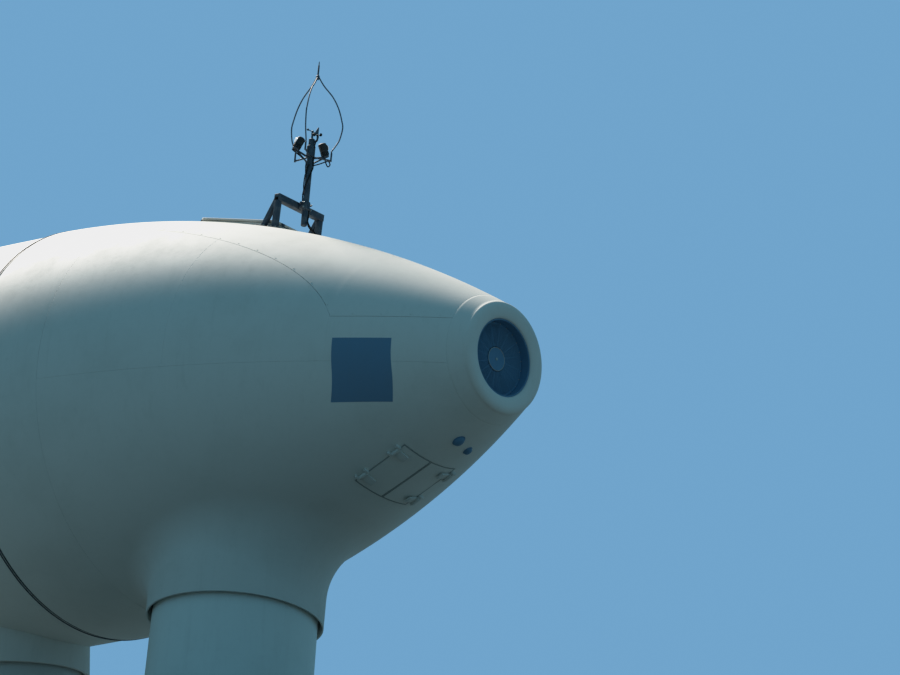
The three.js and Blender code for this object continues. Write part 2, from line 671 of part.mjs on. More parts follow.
function fan() {
  const inside = FAN_MOUTH_RADIUS - SEAT;
  const reach = inside - MOTOR_RING_WALL / 2;
  const [ringFront, ringRear] = MOTOR_RING;
  const ring = solid(spinX([
    [ringFront, inside - MOTOR_RING_WALL], [ringFront, inside],
    [ringRear, inside], [ringRear, inside - MOTOR_RING_WALL],
  ]));
  const stayPlane = (ringFront + ringRear) / 2;
  const stays = stations(0, 270, 3).map((angle) => radial(
    stayPlane, MOTOR_RADIUS - MOTOR_STAY, reach, angle * DEG, MOTOR_STAY));
  const motor = axial(MOTOR_FRONT, MOTOR_REAR, MOTOR_RADIUS);
  const shaft = axial(MOTOR_REAR, FAN_PLANE + SEAT, FAN_SHAFT_RADIUS, 24);
  place(tilted, 'fan_motor', union(ring, ...stays, motor, shaft), DARK_GREY);

  const bore = (FAN_SHAFT_RADIUS + SEAT) / Math.cos(Math.PI / 24);
  const hub = axial(FAN_PLANE - FAN_HUB_HALF, FAN_PLANE + FAN_HUB_HALF, FAN_HUB_RADIUS)
    .subtract(axial(MOTOR_REAR, FAN_PLANE + FAN_HUB_HALF / 2, bore, 24));
  const blades = Array.from({ length: FAN_BLADES }, (_, i) => {
    const blade = new THREE.BoxGeometry(FAN_BLADE.thick, FAN_BLADE.chord, FAN_BLADE.length);
    blade.rotateZ(FAN_BLADE.pitch).translate(FAN_PLANE, 0, FAN_BLADE.middle);
    return solid(blade.rotateX((i / FAN_BLADES) * 2 * Math.PI));
  });
  place(tilted, 'fan_impeller', union(hub, ...blades), DARK_GREY);

  const hoop = (radius, width, segments) => solid(spinX([
    [GUARD_PLANE, radius - width], [GUARD_PLANE, radius],
    [GUARD_PLANE + GUARD_WIRE, radius], [GUARD_PLANE + GUARD_WIRE, radius - width],
  ], segments));
  const spokes = Array.from({ length: GUARD_SPOKES }, (_, i) => radial(GUARD_PLANE + GUARD_WIRE / 2,
    GUARD_PLATE_RADIUS / 2, inside - GUARD_RIM / 2, (i / GUARD_SPOKES) * 2 * Math.PI, GUARD_WIRE));
  const hoops = GUARD_HOOPS.map((radius) => hoop(radius, GUARD_WIRE, 24));
  const plate = axial(GUARD_PLANE - GUARD_WIRE / 2, GUARD_PLANE + 2 * GUARD_WIRE, GUARD_PLATE_RADIUS, 24);
  place(tilted, 'fan_guard', union(hoop(inside, GUARD_RIM, ROUND), ...hoops, ...spokes, plate), DARK_GREY);
}

// Fittings on the cover

const clearOfRoof = core(eggRadius, COVER_STATIONS, SEAT);

function hatches() {
  const [half, y] = [ROOF_HATCH_LENGTH / 2, ROOF_HATCH_HALF_WIDTH];
  const slope = Math.atan(2 * EGG_RADIUS * (ROOF_HATCH_CENTRE - EGG_WIDEST) / EGG_LENGTH ** 2);
  const onRoof = new THREE.Matrix4().makeRotationY(slope)
    .setPosition(ROOF_HATCH_CENTRE, 0, eggRadius(ROOF_HATCH_CENTRE));
  const rim = ROOF_HATCH_RISE - ROOF_LID_THICK;
  const sunk = -ROOF_HATCH_HALF_WIDTH;
  const outer = block([-half, -y, sunk], [half, y, rim]);
  const inner = block([-half + RIM_WALL, -y + RIM_WALL, sunk], [half - RIM_WALL, y - RIM_WALL, rim + 1]);
  const [pinX, pinZ] = [-half - LID_PIN_OUT, rim + LID_PIN_UP];
  const hingeBar = (from, to, radius) => bar([pinX, from, pinZ], [pinX, to, pinZ], radius);
  const earHalf = 20;
  const pinHalf = 70;
  const ears = HATCH_HINGES.flatMap((side) => [
    block([pinX - 2 * LID_PIN_RADIUS, side - earHalf, -earHalf], [-half + earHalf, side + earHalf, rim + earHalf]),
    hingeBar(side - pinHalf, side + pinHalf, LID_PIN_RADIUS),
  ]);
  const frame = placed(union(outer.subtract(inner), ...ears), onRoof);
  place(tilted, 'roof_hatch_frame', frame.subtract(clearOfRoof), HATCH_BEIGE);

  const lidPlate = block([-half - LID_GAP, -y - LID_OVERHANG, rim + LID_GAP],
    [half + LID_OVERHANG, y + LID_OVERHANG, ROOF_HATCH_RISE]);
  const slots = HATCH_HINGES.map((side) => block([-half - 2 * LID_PIN_OUT, side - earHalf - LID_GAP, 0],
    [-half + earHalf + 2 * LID_GAP, side + earHalf + LID_GAP, FAR]));
  const bore = (LID_PIN_RADIUS + SEAT) / Math.cos(Math.PI / 12);
  const knuckles = HATCH_HINGES.flatMap((side) => [-1, 1].map((end) => {
    const [low, high] = [earHalf + LID_GAP + 3, pinHalf - 2].map((value) => side + end * value).sort((a, b) => a - b);
    const arm = block([pinX, low, pinZ + 4], [-half + 60, high, ROOF_HATCH_RISE - 8]);
    return union(hingeBar(low, high, LID_BARREL_RADIUS), arm).subtract(hingeBar(low - 1, high + 1, bore));
  }));
  const lid = placed(union(lidPlate.subtract(union(...slots)), ...knuckles), onRoof);
  place(tilted, 'roof_hatch_lid', lid, HATCH_BEIGE);

  const shell = solid(skin(eggRadius, COVER_STATIONS, WALL));
  place(tilted, 'tail_hatch_lid', shell.intersect(tailHatchHole(TAIL_HATCH_RADIUS - SEAT)), GELCOAT);
}

function drainCowls() {
  COWL_PLACES.forEach(([s, y, radius], i) => {
    const ball = new THREE.SphereGeometry(radius, 12, 6).scale(1.3, 1, 0.8);
    ball.translate(s, y, -Math.sqrt(eggRadius(s) ** 2 - y ** 2));
    place(tilted, `drain_cowl_${i + 1}`, solid(ball).subtract(clearOfRoof), DARK_GREY);
  });
}

// Instruments

/** A point at a height beside the mast, given across the nacelle and along it. */
const byMast = (y, z, x = 0) => [x, y, z];

/** The same by a radius and an angle about the mast. */
const aroundMast = (radius, angle, z) => [radius * Math.cos(angle * DEG), radius * Math.sin(angle * DEG), z];

function bracket() {
  const half = BEAM_LENGTH / 2;
  const foot = eggRadius(BRACKET_X) - 2 * LEG_WIDTH;
  const legs = [-1, 1].flatMap((side) => {
    const y = side * (half - LEG_WIDTH / 2);
    return [
      beam([BRACKET_X, y, foot], [BRACKET_X, y, BEAM_Z], LEG_WIDTH),
      beam([BRACKET_X - BRACE_FOOT, y, foot], [BRACKET_X - 10, y, BEAM_Z], BRACE_WIDTH),
    ];
  });
  const cross = beam([BRACKET_X, -half, BEAM_Z], [BRACKET_X, half, BEAM_Z], 2 * BEAM_HALF);
  const stands = (low, high, radius) => inNacelle(
    bar(byMast(0, BEAM_Z + low), byMast(0, BEAM_Z + high), radius).translate(plumb.position.toArray()));
  const clamp = union(
    stands(-CLAMP_HALF, CLAMP_HALF, MAST_RADIUS + CLAMP_WALL),
    block([BRACKET_X, -CLAMP_HALF, BEAM_Z - BEAM_HALF + 5], [MAST_X, CLAMP_HALF, BEAM_Z + BEAM_HALF - 5]),
  );
  const body = union(...legs, cross, clamp).subtract(stands(-400, 400, MAST_RADIUS + SEAT)).subtract(clearOfRoof);
  place(tilted, 'sensor_bracket', body, GALVANISED);
}

/** A point of a lamp, given along its axis from its middle and outwards from that axis. */
function onLamp(angle, along, outwards = 0) {
  const radius = LAMP_OUT - along * Math.sin(LAMP_TILT) + outwards * Math.cos(LAMP_TILT);
  return aroundMast(radius, angle, LAMP_Z + along * Math.cos(LAMP_TILT) + outwards * Math.sin(LAMP_TILT));
}

function mast() {
  const tube = bar(byMast(0, MAST_FOOT), byMast(0, MAST_TOP), MAST_RADIUS);
  const head = bar(byMast(0, MAST_TOP - 250), byMast(0, MAST_TOP - 100), MAST_RADIUS + 18);
  const seat = -LAMP_LENGTH / 2;
  const lampArms = Object.values(LAMP_ANGLES).flatMap((angle) => {
    const foot = onLamp(angle, seat - LAMP_PAD + 5);
    return [
      bar(byMast(0, LAMP_Z - 170), foot, 14, 6),
      bar(byMast(0, LAMP_Z - 260), foot, 12, 6),
      bar(onLamp(angle, seat - LAMP_PAD), onLamp(angle, seat), LAMP_RADIUS - 10),
    ];
  });
  const cageArms = CAGE_ANGLES.flatMap((angle) => [
    bar(byMast(0, CAGE_ARM_Z), aroundMast(CAGE_FOOT_RADIUS, angle, CAGE_ARM_Z), 11, 6),
    bar(aroundMast(CAGE_FOOT_RADIUS, angle, CAGE_ARM_Z - 15),
      aroundMast(CAGE_FOOT_RADIUS, angle, CAGE_BOTTOM), 12, 8),
  ]);
  const cupStem = [
    bar(byMast(0, CUPS_BASE - 90), byMast(0, CUPS_BASE - 30, CUPS_X), 9, 8),
    bar(byMast(0, CUPS_BASE - 45, CUPS_X), byMast(0, CUPS_BASE, CUPS_X), 13),
  ];
  const vaneStem = bar(byMast(0, MAST_TOP - 20), byMast(0, VANE_BASE), 14);
  place(plumb, 'sensor_mast', union(tube, head, ...lampArms, ...cageArms, ...cupStem, vaneStem), GALVANISED);
}

function lamps() {
  const seat = SEAT - LAMP_LENGTH / 2;
  for (const [word, angle] of Object.entries(LAMP_ANGLES)) {
    const body = bar(onLamp(angle, seat), onLamp(angle, seat + LAMP_LENGTH), LAMP_RADIUS, 20);
    const lens = bar(onLamp(angle, 15), onLamp(angle, 15, LENS_REACH), LENS_RADIUS, 20);
    place(plumb, `warning_lamp_${word}`, union(body, lens), LAMP_BODY);
  }
}

function lightningCage() {
  const rods = CAGE_ANGLES.map((angle) => {
    const bend = [[0, CAGE_FOOT_RADIUS], ...CAGE_BEND, [CAGE_TOP - CAGE_BOTTOM, 14]];
    const path = bend.map(([height, radius]) => aroundMast(radius, angle, CAGE_BOTTOM + height));
    return rod(path, CAGE_ROD, 18, 5).subtract(block([-FAR, -FAR, -FAR], [FAR, FAR, CAGE_BOTTOM + SEAT]));
  });
  const spike = bar(byMast(0, CAGE_TOP - 40), byMast(0, SPIKE_THICK), 12, 8);
  const tip = bar(byMast(0, SPIKE_THICK - 10), byMast(0, SPIKE_TOP), 7, 8);
  const knot = bar(byMast(0, CAGE_TOP - 35), byMast(0, CAGE_TOP + 25), 24);
  place(plumb, 'lightning_cage', union(...rods, spike, tip, knot), GALVANISED);
}

function windSensors() {
  const cupBase = CUPS_BASE + SEAT;
  const cupHub = bar(byMast(0, cupBase, CUPS_X), byMast(0, cupBase + 40, CUPS_X), 14);
  const cups = [0, 120, 240].flatMap((angle) => {
    const centre = aroundMast(CUP_ARM, angle, cupBase + 25);
    centre[0] += CUPS_X;
    return [
      bar(byMast(0, cupBase + 25, CUPS_X), centre, 5, 6),
      solid(new THREE.SphereGeometry(CUP_RADIUS, 8, 5).translate(...centre)),
    ];
  });
  place(plumb, 'anemometer_cups', union(cupHub, ...cups), LAMP_BODY);

  const base = VANE_BASE + SEAT;
  const level = base + 40;
  const hub = bar(byMast(0, base), byMast(0, base + 60), 15);
  const boom = bar(byMast(0, level, -90), byMast(0, level, 90), 6, 8);
  const fin = block(byMast(-3, base + 5, 40), byMast(3, base + 95, 110));
  const weight = bar(byMast(0, level, -105), byMast(0, level, -80), 14);
  place(plumb, 'wind_vane', union(hub, boom, fin, weight), LAMP_BODY);
}

// Rotor

const bladeTurn = (degrees) => new THREE.Matrix4().makeRotationX(-degrees * DEG).setPosition(ROTOR_PLANE, 0, 0);

/** A profile of [height, radius] points spun about a blade's own axis. */
function spinBlade(profile, degrees) {
  return spinZ(profile, BLADE_ROUND).applyMatrix4(bladeTurn(degrees));
}

function hub() {
  const bore = (JOURNAL_RADIUS + SEAT) / Math.cos(Math.PI / ROUND);
  const [chamferLong, chamferDeep] = HUB_CHAMFER;
  const barrel = solid(spinX([
    [HUB_FRONT, bore], [HUB_REAR, bore], [HUB_REAR, HUB_RADIUS], [HUB_FRONT + chamferLong, HUB_RADIUS],
    [HUB_FRONT, HUB_RADIUS - chamferDeep],
  ]));
  const ports = BLADE_ANGLES.map((angle) => solid(spinBlade([
    [0, 0], [0, HUB_PORT_RADIUS], [HUB_PORT_END, HUB_PORT_RADIUS], [HUB_PORT_END, 0],
  ], angle)));
  const through = solid(spinX([[SPINNER_TIP, 0], [SPINNER_TIP, bore], [GAP_REAR, bore], [GAP_REAR, 0]]));
  place(tilted, 'hub_casting', union(barrel, ...ports).subtract(through), CAST_GREY);

  const rim = SPINNER_RADIUS - WALL - SEAT;
  const hubEnd = HUB_REAR + SEAT;
  const rimRear = GAP_FRONT - ROTOR_RIM_REAR;
  const discRear = GAP_FRONT - ROTOR_DISC_REAR;
  const sleeve = HUB_RADIUS - 20;
  place(tilted, 'generator_rotor', spinX([
    [hubEnd, ROTOR_DISC_BORE], [discRear, ROTOR_DISC_BORE], [discRear, STATOR_BORE], [rimRear, STATOR_BORE],
    [rimRear, rim], [discRear - WEB_THICK, rim], [discRear - WEB_THICK, sleeve], [hubEnd, sleeve],
  ]), CAST_GREY);
}

function spinner() {
  const openings = BLADE_ANGLES.map((angle) => solid(spinBlade([
    [HUB_PORT_END, 0], [HUB_PORT_END, ROOT_COLLAR_INNER], [FAR, ROOT_COLLAR_INNER], [FAR, 0],
  ], angle)));
  const shell = solid(skin(spinnerRadius, SPINNER_STATIONS, WALL));
  place(tilted, 'spinner_shell', openings.reduce((body, cut) => body.subtract(cut), shell), GELCOAT);

  const reach = SPINNER_TIP - SPINNER_SHOULDER;
  const start = Math.asin((NOSE_SEAM - SPINNER_SHOULDER) / reach);
  const nose = (offset) => stations(start, Math.PI / 2, 4).map((angle, k) => [
    SPINNER_SHOULDER + (reach + offset) * Math.sin(angle),
    k === 4 ? 0 : (SPINNER_RADIUS - offset) * Math.cos(angle),
  ]);
  const dome = (offset, rear) => solid(spinX([[rear, 0], [rear, nose(offset)[0][1]], ...nose(offset)]));
  const cap = dome(0, NOSE_SEAM + WALL).subtract(dome(WALL, NOSE_SEAM + 2 * WALL));
  place(tilted, 'spinner_nose', between(cap, -FAR, NOSE_SEAM - SEAT), GELCOAT);
}

function bladeRoots() {
  const outside = core(spinnerRadius, SPINNER_STATIONS, SEAT);
  BLADE_ANGLES.forEach((angle, i) => {
    const tube = solid(spinBlade([
      [ROOT_COLLAR_START, ROOT_COLLAR_INNER], [ROOT_COLLAR_START, ROOT_COLLAR_OUTER],
      [ROOT_COLLAR_END, ROOT_COLLAR_OUTER], [ROOT_COLLAR_END, ROOT_COLLAR_INNER],
    ], angle));
    place(tilted, `blade_collar_${i + 1}`, tube.subtract(outside), GELCOAT);
    const foot = HUB_PORT_END + SEAT;
    const flare = HUB_PORT_END + ROOT_FLARE_END;
    place(tilted, `blade_adapter_${i + 1}`, spinBlade([
      [foot, ROOT_BORE], [foot, HUB_PORT_RADIUS], [HUB_PORT_END + ROOT_FOOT, HUB_PORT_RADIUS],
      [flare, ROOT_RADIUS], [ROOT_END, ROOT_RADIUS], [ROOT_END, 0], [ROOT_END - ROOT_WALL, 0],
      [ROOT_END - ROOT_WALL, ROOT_RADIUS - ROOT_WALL], [flare + ROOT_WALL / 2, ROOT_RADIUS - ROOT_WALL],
      [HUB_PORT_END + ROOT_FOOT + ROOT_WALL / 2, ROOT_BORE],
    ], angle), GELCOAT);
  });
}

towerSection();
carrier();
axle();
cover();
tailEnd();
fan();
hatches();
drainCowls();
bracket();
mast();
lamps();
lightningCage();
windSensors();
hub();
spinner();
bladeRoots();

export default part;
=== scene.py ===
# %% [markdown]
# # Dressing a wind turbine nacelle
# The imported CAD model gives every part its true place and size. This lesson builds the
# visible surfaces round it: an egg-shaped laminate cover on a steel tower, a spinner with
# three blade roots, a tail fan, floor and roof hatches, and a mast with wind sensors.
# Everything is in metres, +Z up, +X towards the tail, with the tower's foot at the origin.

# %% Libraries and the fixed frame
import math

import bmesh
import bpy
import numpy as np
from mathutils import Matrix, Vector


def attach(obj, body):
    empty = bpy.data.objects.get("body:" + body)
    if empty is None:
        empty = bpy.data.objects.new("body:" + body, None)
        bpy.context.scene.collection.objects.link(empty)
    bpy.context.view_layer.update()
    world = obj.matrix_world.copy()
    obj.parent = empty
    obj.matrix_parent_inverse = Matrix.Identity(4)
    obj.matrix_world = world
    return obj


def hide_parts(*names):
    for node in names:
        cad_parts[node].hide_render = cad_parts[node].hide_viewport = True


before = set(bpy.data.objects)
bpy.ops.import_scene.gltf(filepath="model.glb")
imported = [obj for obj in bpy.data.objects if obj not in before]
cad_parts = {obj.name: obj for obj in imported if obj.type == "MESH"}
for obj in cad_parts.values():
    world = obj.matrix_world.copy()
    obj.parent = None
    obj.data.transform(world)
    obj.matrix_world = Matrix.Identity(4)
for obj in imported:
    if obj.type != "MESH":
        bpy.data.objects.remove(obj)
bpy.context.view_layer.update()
scene = bpy.context.scene

# %% [markdown]
# The camera stands on the ground far below and behind the nacelle, with a very long lens.
# Its three directions are worked out from its azimuth, its elevation and a slight roll, and
# its aim is a point beside the tower top, so that the nacelle fills the left of the picture.

# %% Camera
CAMERA_AZIMUTH = math.radians(43.1)
CAMERA_ELEVATION = math.radians(-21.1)
CAMERA_ROLL = math.radians(5.2)
CAMERA_DISTANCE = 180.0
CAMERA_LENS = 569.0
TOWER_SHOULDER = Vector((0, 0, 2.0))
AIM_RIGHT, AIM_UP = 2.726, 3.602


def camera_axes(azimuth, elevation, roll):
    """Right, up and backward directions of a camera."""
    across = Vector((math.cos(azimuth), math.sin(azimuth), 0))
    level = math.cos(elevation)
    backward = Vector((math.sin(azimuth) * level, -math.cos(azimuth) * level, math.sin(elevation)))
    upward = backward.cross(across)
    right = across * math.cos(roll) + upward * math.sin(roll)
    return right, backward.cross(right), backward


right, upward, backward = camera_axes(CAMERA_AZIMUTH, CAMERA_ELEVATION, CAMERA_ROLL)
aim = TOWER_SHOULDER + AIM_RIGHT * right + AIM_UP * upward
camera = bpy.data.objects.new("camera", bpy.data.cameras.new("camera"))
camera.data.lens = CAMERA_LENS
camera.data.sensor_width = 36.0
camera.data.clip_start = 1.0
camera.data.clip_end = 2 * CAMERA_DISTANCE
camera.matrix_world = Matrix.Translation(aim + CAMERA_DISTANCE * backward) @ Matrix(
    (right, upward, backward)).transposed().to_4x4()
scene.collection.objects.link(camera)
scene.camera = camera
print("camera at", [round(value, 2) for value in camera.location])

# %% [markdown]
# Every material and Geometry Nodes tree below is written with a few helpers. A node takes
# its settings by keyword, and each of its inputs takes a plain value, a socket or a node.

# %% Helpers for nodes


class Nodes:
    """Adds nodes to a tree: settings by keyword, inputs by socket name or number."""

    def __init__(self, tree):
        self.tree = tree

    def add(self, kind, inputs=None, **settings):
        node = self.tree.nodes.new(kind)
        for key, value in settings.items():
            setattr(node, key, value)
        for key, value in (inputs or {}).items():
            self.join(value, node.inputs[key])
        return node

    def join(self, value, socket):
        if isinstance(value, bpy.types.NodeSocket):
            self.tree.links.new(value, socket)
        elif isinstance(value, bpy.types.Node):
            self.tree.links.new(value.outputs[0], socket)
        else:
            socket.default_value = value

    def math(self, operation, *values, clamp=False):
        node = self.tree.nodes.new("ShaderNodeMath")
        node.operation = operation
        if clamp:
            node.use_clamp = True
        for socket, value in zip(node.inputs, values):
            self.join(value, socket)
        return node.outputs[0]

    def between(self, value, low, high, to_low=0.0, to_high=1.0):
        node = self.add("ShaderNodeMapRange", {0: value, 1: low, 2: high, 3: to_low, 4: to_high})
        node.interpolation_type = "SMOOTHSTEP"
        return node.outputs[0]

    def mix(self, share, first, second, blend="MIX"):
        node = self.add("ShaderNodeMix", data_type="RGBA", blend_type=blend)
        self.join(share, node.inputs[0])
        self.join(first, node.inputs[6])
        self.join(second, node.inputs[7])
        return node.outputs[2]


def new_material(name):
    """An empty node material and the helper that adds nodes to it."""
    material = bpy.data.materials.new(name)
    material.use_nodes = True
    material.node_tree.nodes.clear()
    return material, Nodes(material.node_tree)


print("node helpers ready for Blender", bpy.app.version_string)

# %% [markdown]
# The stage is a pale floor under the tower's foot that fades out with distance. The
# photograph looks up from below the foot, so the floor shows only its upper side: its back
# is transparent. For bounced light it counts as darker ground, so that the belly keeps the
# deep shade that it has high up in the open air.

# %% Stage floor
FLOOR_RADIUS, FLOOR_SIDES, FLOOR_DROP = 60.0, 96, 0.005
FLOOR_FADE = (14.0, 55.0)
FLOOR_COLOUR = (0.50, 0.53, 0.55, 1)
GROUND_BOUNCE = (0.052, 0.080, 0.090, 1)

floor_material, shade = new_material("stage_floor")
place = shade.add("ShaderNodeTexCoord").outputs["Object"]
reach = shade.add("ShaderNodeVectorMath", {0: place}, operation="LENGTH").outputs["Value"]
faded = shade.between(reach, *FLOOR_FADE)
seen_below = shade.add("ShaderNodeNewGeometry").outputs["Backfacing"]
hidden = shade.math("MAXIMUM", faded, seen_below)
to_camera = shade.add("ShaderNodeLightPath").outputs["Is Camera Ray"]
floor_look = shade.add("ShaderNodeBsdfDiffuse", {"Color": shade.mix(to_camera, GROUND_BOUNCE, FLOOR_COLOUR)})
floor_out = shade.add("ShaderNodeMixShader", {
    0: hidden, 1: floor_look.outputs[0], 2: shade.add("ShaderNodeBsdfTransparent").outputs[0]})
shade.add("ShaderNodeOutputMaterial", {"Surface": floor_out.outputs[0]})

floor_mesh = bpy.data.meshes.new("stage_floor")
floor_build = bmesh.new()
bmesh.ops.create_circle(floor_build, cap_ends=True, segments=FLOOR_SIDES, radius=FLOOR_RADIUS)
bmesh.ops.translate(floor_build, verts=floor_build.verts, vec=(0, 0, -FLOOR_DROP))
floor_build.to_mesh(floor_mesh)
floor_build.free()
floor_mesh.materials.append(floor_material)
floor = bpy.data.objects.new("stage_floor", floor_mesh)
scene.collection.objects.link(floor)
print("floor", 2 * FLOOR_RADIUS, "m across")

# %% [markdown]
# One large soft light stands high on the far side, where the sun was. It lights the roof and
# leaves the side that faces the camera in open shade. The world gives that shade its cool
# blue fill, and shows the camera a plain pale blue backdrop. The view's tone curve bends over
# in a soft shoulder, which keeps the drawing of the cover in its brightest parts.

# %% Light and backdrop
SUN_FROM = Vector((-0.615, 0.14, 0.775))
SUN_STRENGTH, SUN_SOFTNESS, SUN_COLOUR = 6.6, math.radians(14), (1.0, 0.91, 0.82)
SKY_FILL = (0.082, 0.215, 0.305, 1)
BACKDROP = (0.16, 0.37, 0.605, 1)
SHOULDER = [(0.45, 0.45), (0.7, 0.68), (1.0, 0.86), (1.5, 0.96), (2.5, 1.0)]
CURVE_END = (6.0, 1.0)
ALL_COLOURS = 3

sun = bpy.data.objects.new("soft_sun", bpy.data.lights.new("soft_sun", "SUN"))
sun.data.energy = SUN_STRENGTH
sun.data.angle = SUN_SOFTNESS
sun.data.color = SUN_COLOUR
sun.rotation_euler = SUN_FROM.to_track_quat("Z", "Y").to_euler()
scene.collection.objects.link(sun)

world = bpy.data.worlds.new("open_shade")
world.use_nodes = True
world.node_tree.nodes.clear()
sky = Nodes(world.node_tree)
backdrop = sky.mix(sky.add("ShaderNodeLightPath").outputs["Is Camera Ray"], SKY_FILL, BACKDROP)
sky.add("ShaderNodeOutputWorld", {"Surface": sky.add("ShaderNodeBackground", {"Color": backdrop}).outputs[0]})
scene.world = world

scene.view_settings.view_transform = "Standard"
scene.view_settings.use_curve_mapping = True
tones = scene.view_settings.curve_mapping
tones.use_clip = False
tones.curves[ALL_COLOURS].points[1].location = CURVE_END
for light_in, light_out in SHOULDER:
    tones.curves[ALL_COLOURS].points.new(light_in, light_out)
tones.update()
print("sun from", [round(value, 2) for value in SUN_FROM.normalized()], "curve points", len(SHOULDER) + 2)

# %% [markdown]
# The finishes share three effects, each built once as a shader node group. Weathering mixes
# a dirt colour into the clean one: soft cloudy stains, streaks that rain has drawn down the
# walls, and dust that settles on what faces up. Grain is a fine tooth for castings, zinc and
# gel coat. Worn metal bares a second colour in patches.

# %% Shared effects
NUMBER, COLOUR, VECTOR = "NodeSocketFloat", "NodeSocketColor", "NodeSocketVector"


def new_effect(name, inputs, outputs):
    """A shader node group with named sockets; inputs give (kind, value)."""
    group = bpy.data.node_groups.new(name, "ShaderNodeTree")
    for label, (kind, value) in inputs.items():
        socket = group.interface.new_socket(label, in_out="INPUT", socket_type=kind)
        socket.default_value = value
    for label, kind in outputs.items():
        group.interface.new_socket(label, in_out="OUTPUT", socket_type=kind)
    nodes = Nodes(group)
    return group, nodes, group.nodes.new("NodeGroupInput").outputs, group.nodes.new("NodeGroupOutput").inputs


def noise(place, scale, detail, roughness=0.5):
    """A noise texture at a place."""
    return shade.add("ShaderNodeTexNoise", {
        "Vector": place, "Scale": scale, "Detail": detail, "Roughness": roughness})


weathering, shade, given, made = new_effect("weathering", {
    "Place": (VECTOR, (0, 0, 0)),
    "Clean": (COLOUR, (0.7, 0.7, 0.7, 1)),
    "Dirt": (COLOUR, (0.3, 0.3, 0.28, 1)),
    "Stains": (NUMBER, 0.3),
    "Streaks": (NUMBER, 0.3),
    "Dust": (NUMBER, 0.2),
    "Gloss": (NUMBER, 0.4),
}, {"Colour": COLOUR, "Roughness": NUMBER})
cloud = noise(given["Place"], 0.9, 6.0, 0.62)
fine = noise(given["Place"], 14.0, 4.0, 0.6)
drawn_down = shade.add("ShaderNodeMapping", {"Vector": given["Place"], "Scale": (7.0, 7.0, 0.45)})
streak = noise(drawn_down, 1.3, 5.0, 0.68)
normal = shade.add("ShaderNodeNewGeometry").outputs["Normal"]
facing = shade.add("ShaderNodeSeparateXYZ", {0: normal}).outputs["Z"]
upright = shade.math("SUBTRACT", 1.0, shade.math("ABSOLUTE", facing))
stains = shade.math("MULTIPLY", shade.between(cloud, 0.42, 0.72), given["Stains"])
fine_share = shade.math("MULTIPLY", given["Stains"], 0.5)
fine_stains = shade.math("MULTIPLY", shade.between(fine, 0.5, 0.8), fine_share)
streaks = shade.math("MULTIPLY", shade.math("MULTIPLY", shade.between(streak, 0.5, 0.78), given["Streaks"]),
                     shade.between(upright, 0.1, 0.8))
dust = shade.math("MULTIPLY", shade.math("MULTIPLY", shade.between(facing, 0.45, 1.0), given["Dust"]),
                  shade.between(cloud, 0.3, 0.6, 0.35, 1.0))
dirt = shade.math("ADD", shade.math("ADD", stains, fine_stains), shade.math("ADD", streaks, dust), clamp=True)
shade.join(shade.mix(dirt, given["Clean"], given["Dirt"]), made["Colour"])
rougher = shade.math("MULTIPLY", dirt, 0.35)
shade.join(shade.math("ADD", given["Gloss"], rougher, clamp=True), made["Roughness"])

grain, shade, given, made = new_effect("grain", {
    "Place": (VECTOR, (0, 0, 0)),
    "Size": (NUMBER, 120.0),
    "Waviness": (NUMBER, 0.3),
}, {"Height": NUMBER})
tooth = noise(given["Place"], given["Size"], 3.0)
swell = noise(given["Place"], 1.7, 2.0)
shade.join(shade.math("ADD", tooth, shade.math("MULTIPLY", swell, given["Waviness"])), made["Height"])

bare_patches, shade, given, made = new_effect("bare_patches", {
    "Place": (VECTOR, (0, 0, 0)),
    "Scale": (NUMBER, 6.0),
    "Amount": (NUMBER, 0.3),
}, {"Mask": NUMBER})
cells = shade.add("ShaderNodeTexVoronoi", {"Vector": given["Place"], "Scale": given["Scale"]})
ragged = noise(given["Place"], given["Scale"], 8.0)
patch = shade.math("ADD", shade.math("MULTIPLY", cells.outputs["Distance"], 0.4), ragged)
bound = shade.math("SUBTRACT", 1.0, given["Amount"])
shade.join(shade.between(patch, bound, shade.math("ADD", bound, 0.12)), made["Mask"])
print("shared effects", [group.name for group in (weathering, grain, bare_patches)])

# %% [markdown]
# Each finish is a Principled BSDF that takes its colour and roughness from the weathering
# group and its bump from the grain group, with its own values. The laminate cover is an
# off-white gel coat, slightly wavy as a hand-laid moulding is; the tower is sprayed satin
# paint; the metalwork on the roof is dull zinc gone dark.

# %% Finishes
BUMP_STRENGTH = 0.6


def effect(shade, group, **values):
    """The outputs of a shared effect, with values for its named inputs."""
    node = shade.add("ShaderNodeGroup", node_tree=group)
    for label, value in values.items():
        shade.join(value, node.inputs[label])
    return node.outputs


def finish_for(name, clean, dirt, stains, streaks, dust, gloss, size, tooth, waviness=0.3, metallic=0.0,
               shine=0.4, bare=None, bare_scale=5.0, bare_amount=0.25):
    """A weathered material; bare is a second colour that shows in patches."""
    material, shade = new_material(name)
    place = shade.add("ShaderNodeTexCoord").outputs["Object"]
    worn = effect(shade, weathering, Place=place, Clean=(*clean, 1), Dirt=(*dirt, 1), Stains=stains,
                  Streaks=streaks, Dust=dust, Gloss=gloss)
    colour = worn["Colour"]
    if bare:
        patches = effect(shade, bare_patches, Place=place, Scale=bare_scale, Amount=bare_amount)
        colour = shade.mix(patches["Mask"], colour, (*bare, 1))
    surface = effect(shade, grain, Place=place, Size=size, Waviness=waviness)
    bump = shade.add("ShaderNodeBump", {
        "Height": surface["Height"], "Strength": BUMP_STRENGTH, "Distance": tooth})
    look = shade.add("ShaderNodeBsdfPrincipled", {
        "Base Color": colour, "Roughness": worn["Roughness"], "Metallic": metallic,
        "Specular IOR Level": shine, "Normal": bump.outputs["Normal"]})
    shade.add("ShaderNodeOutputMaterial", {"Surface": look.outputs[0]})
    return material


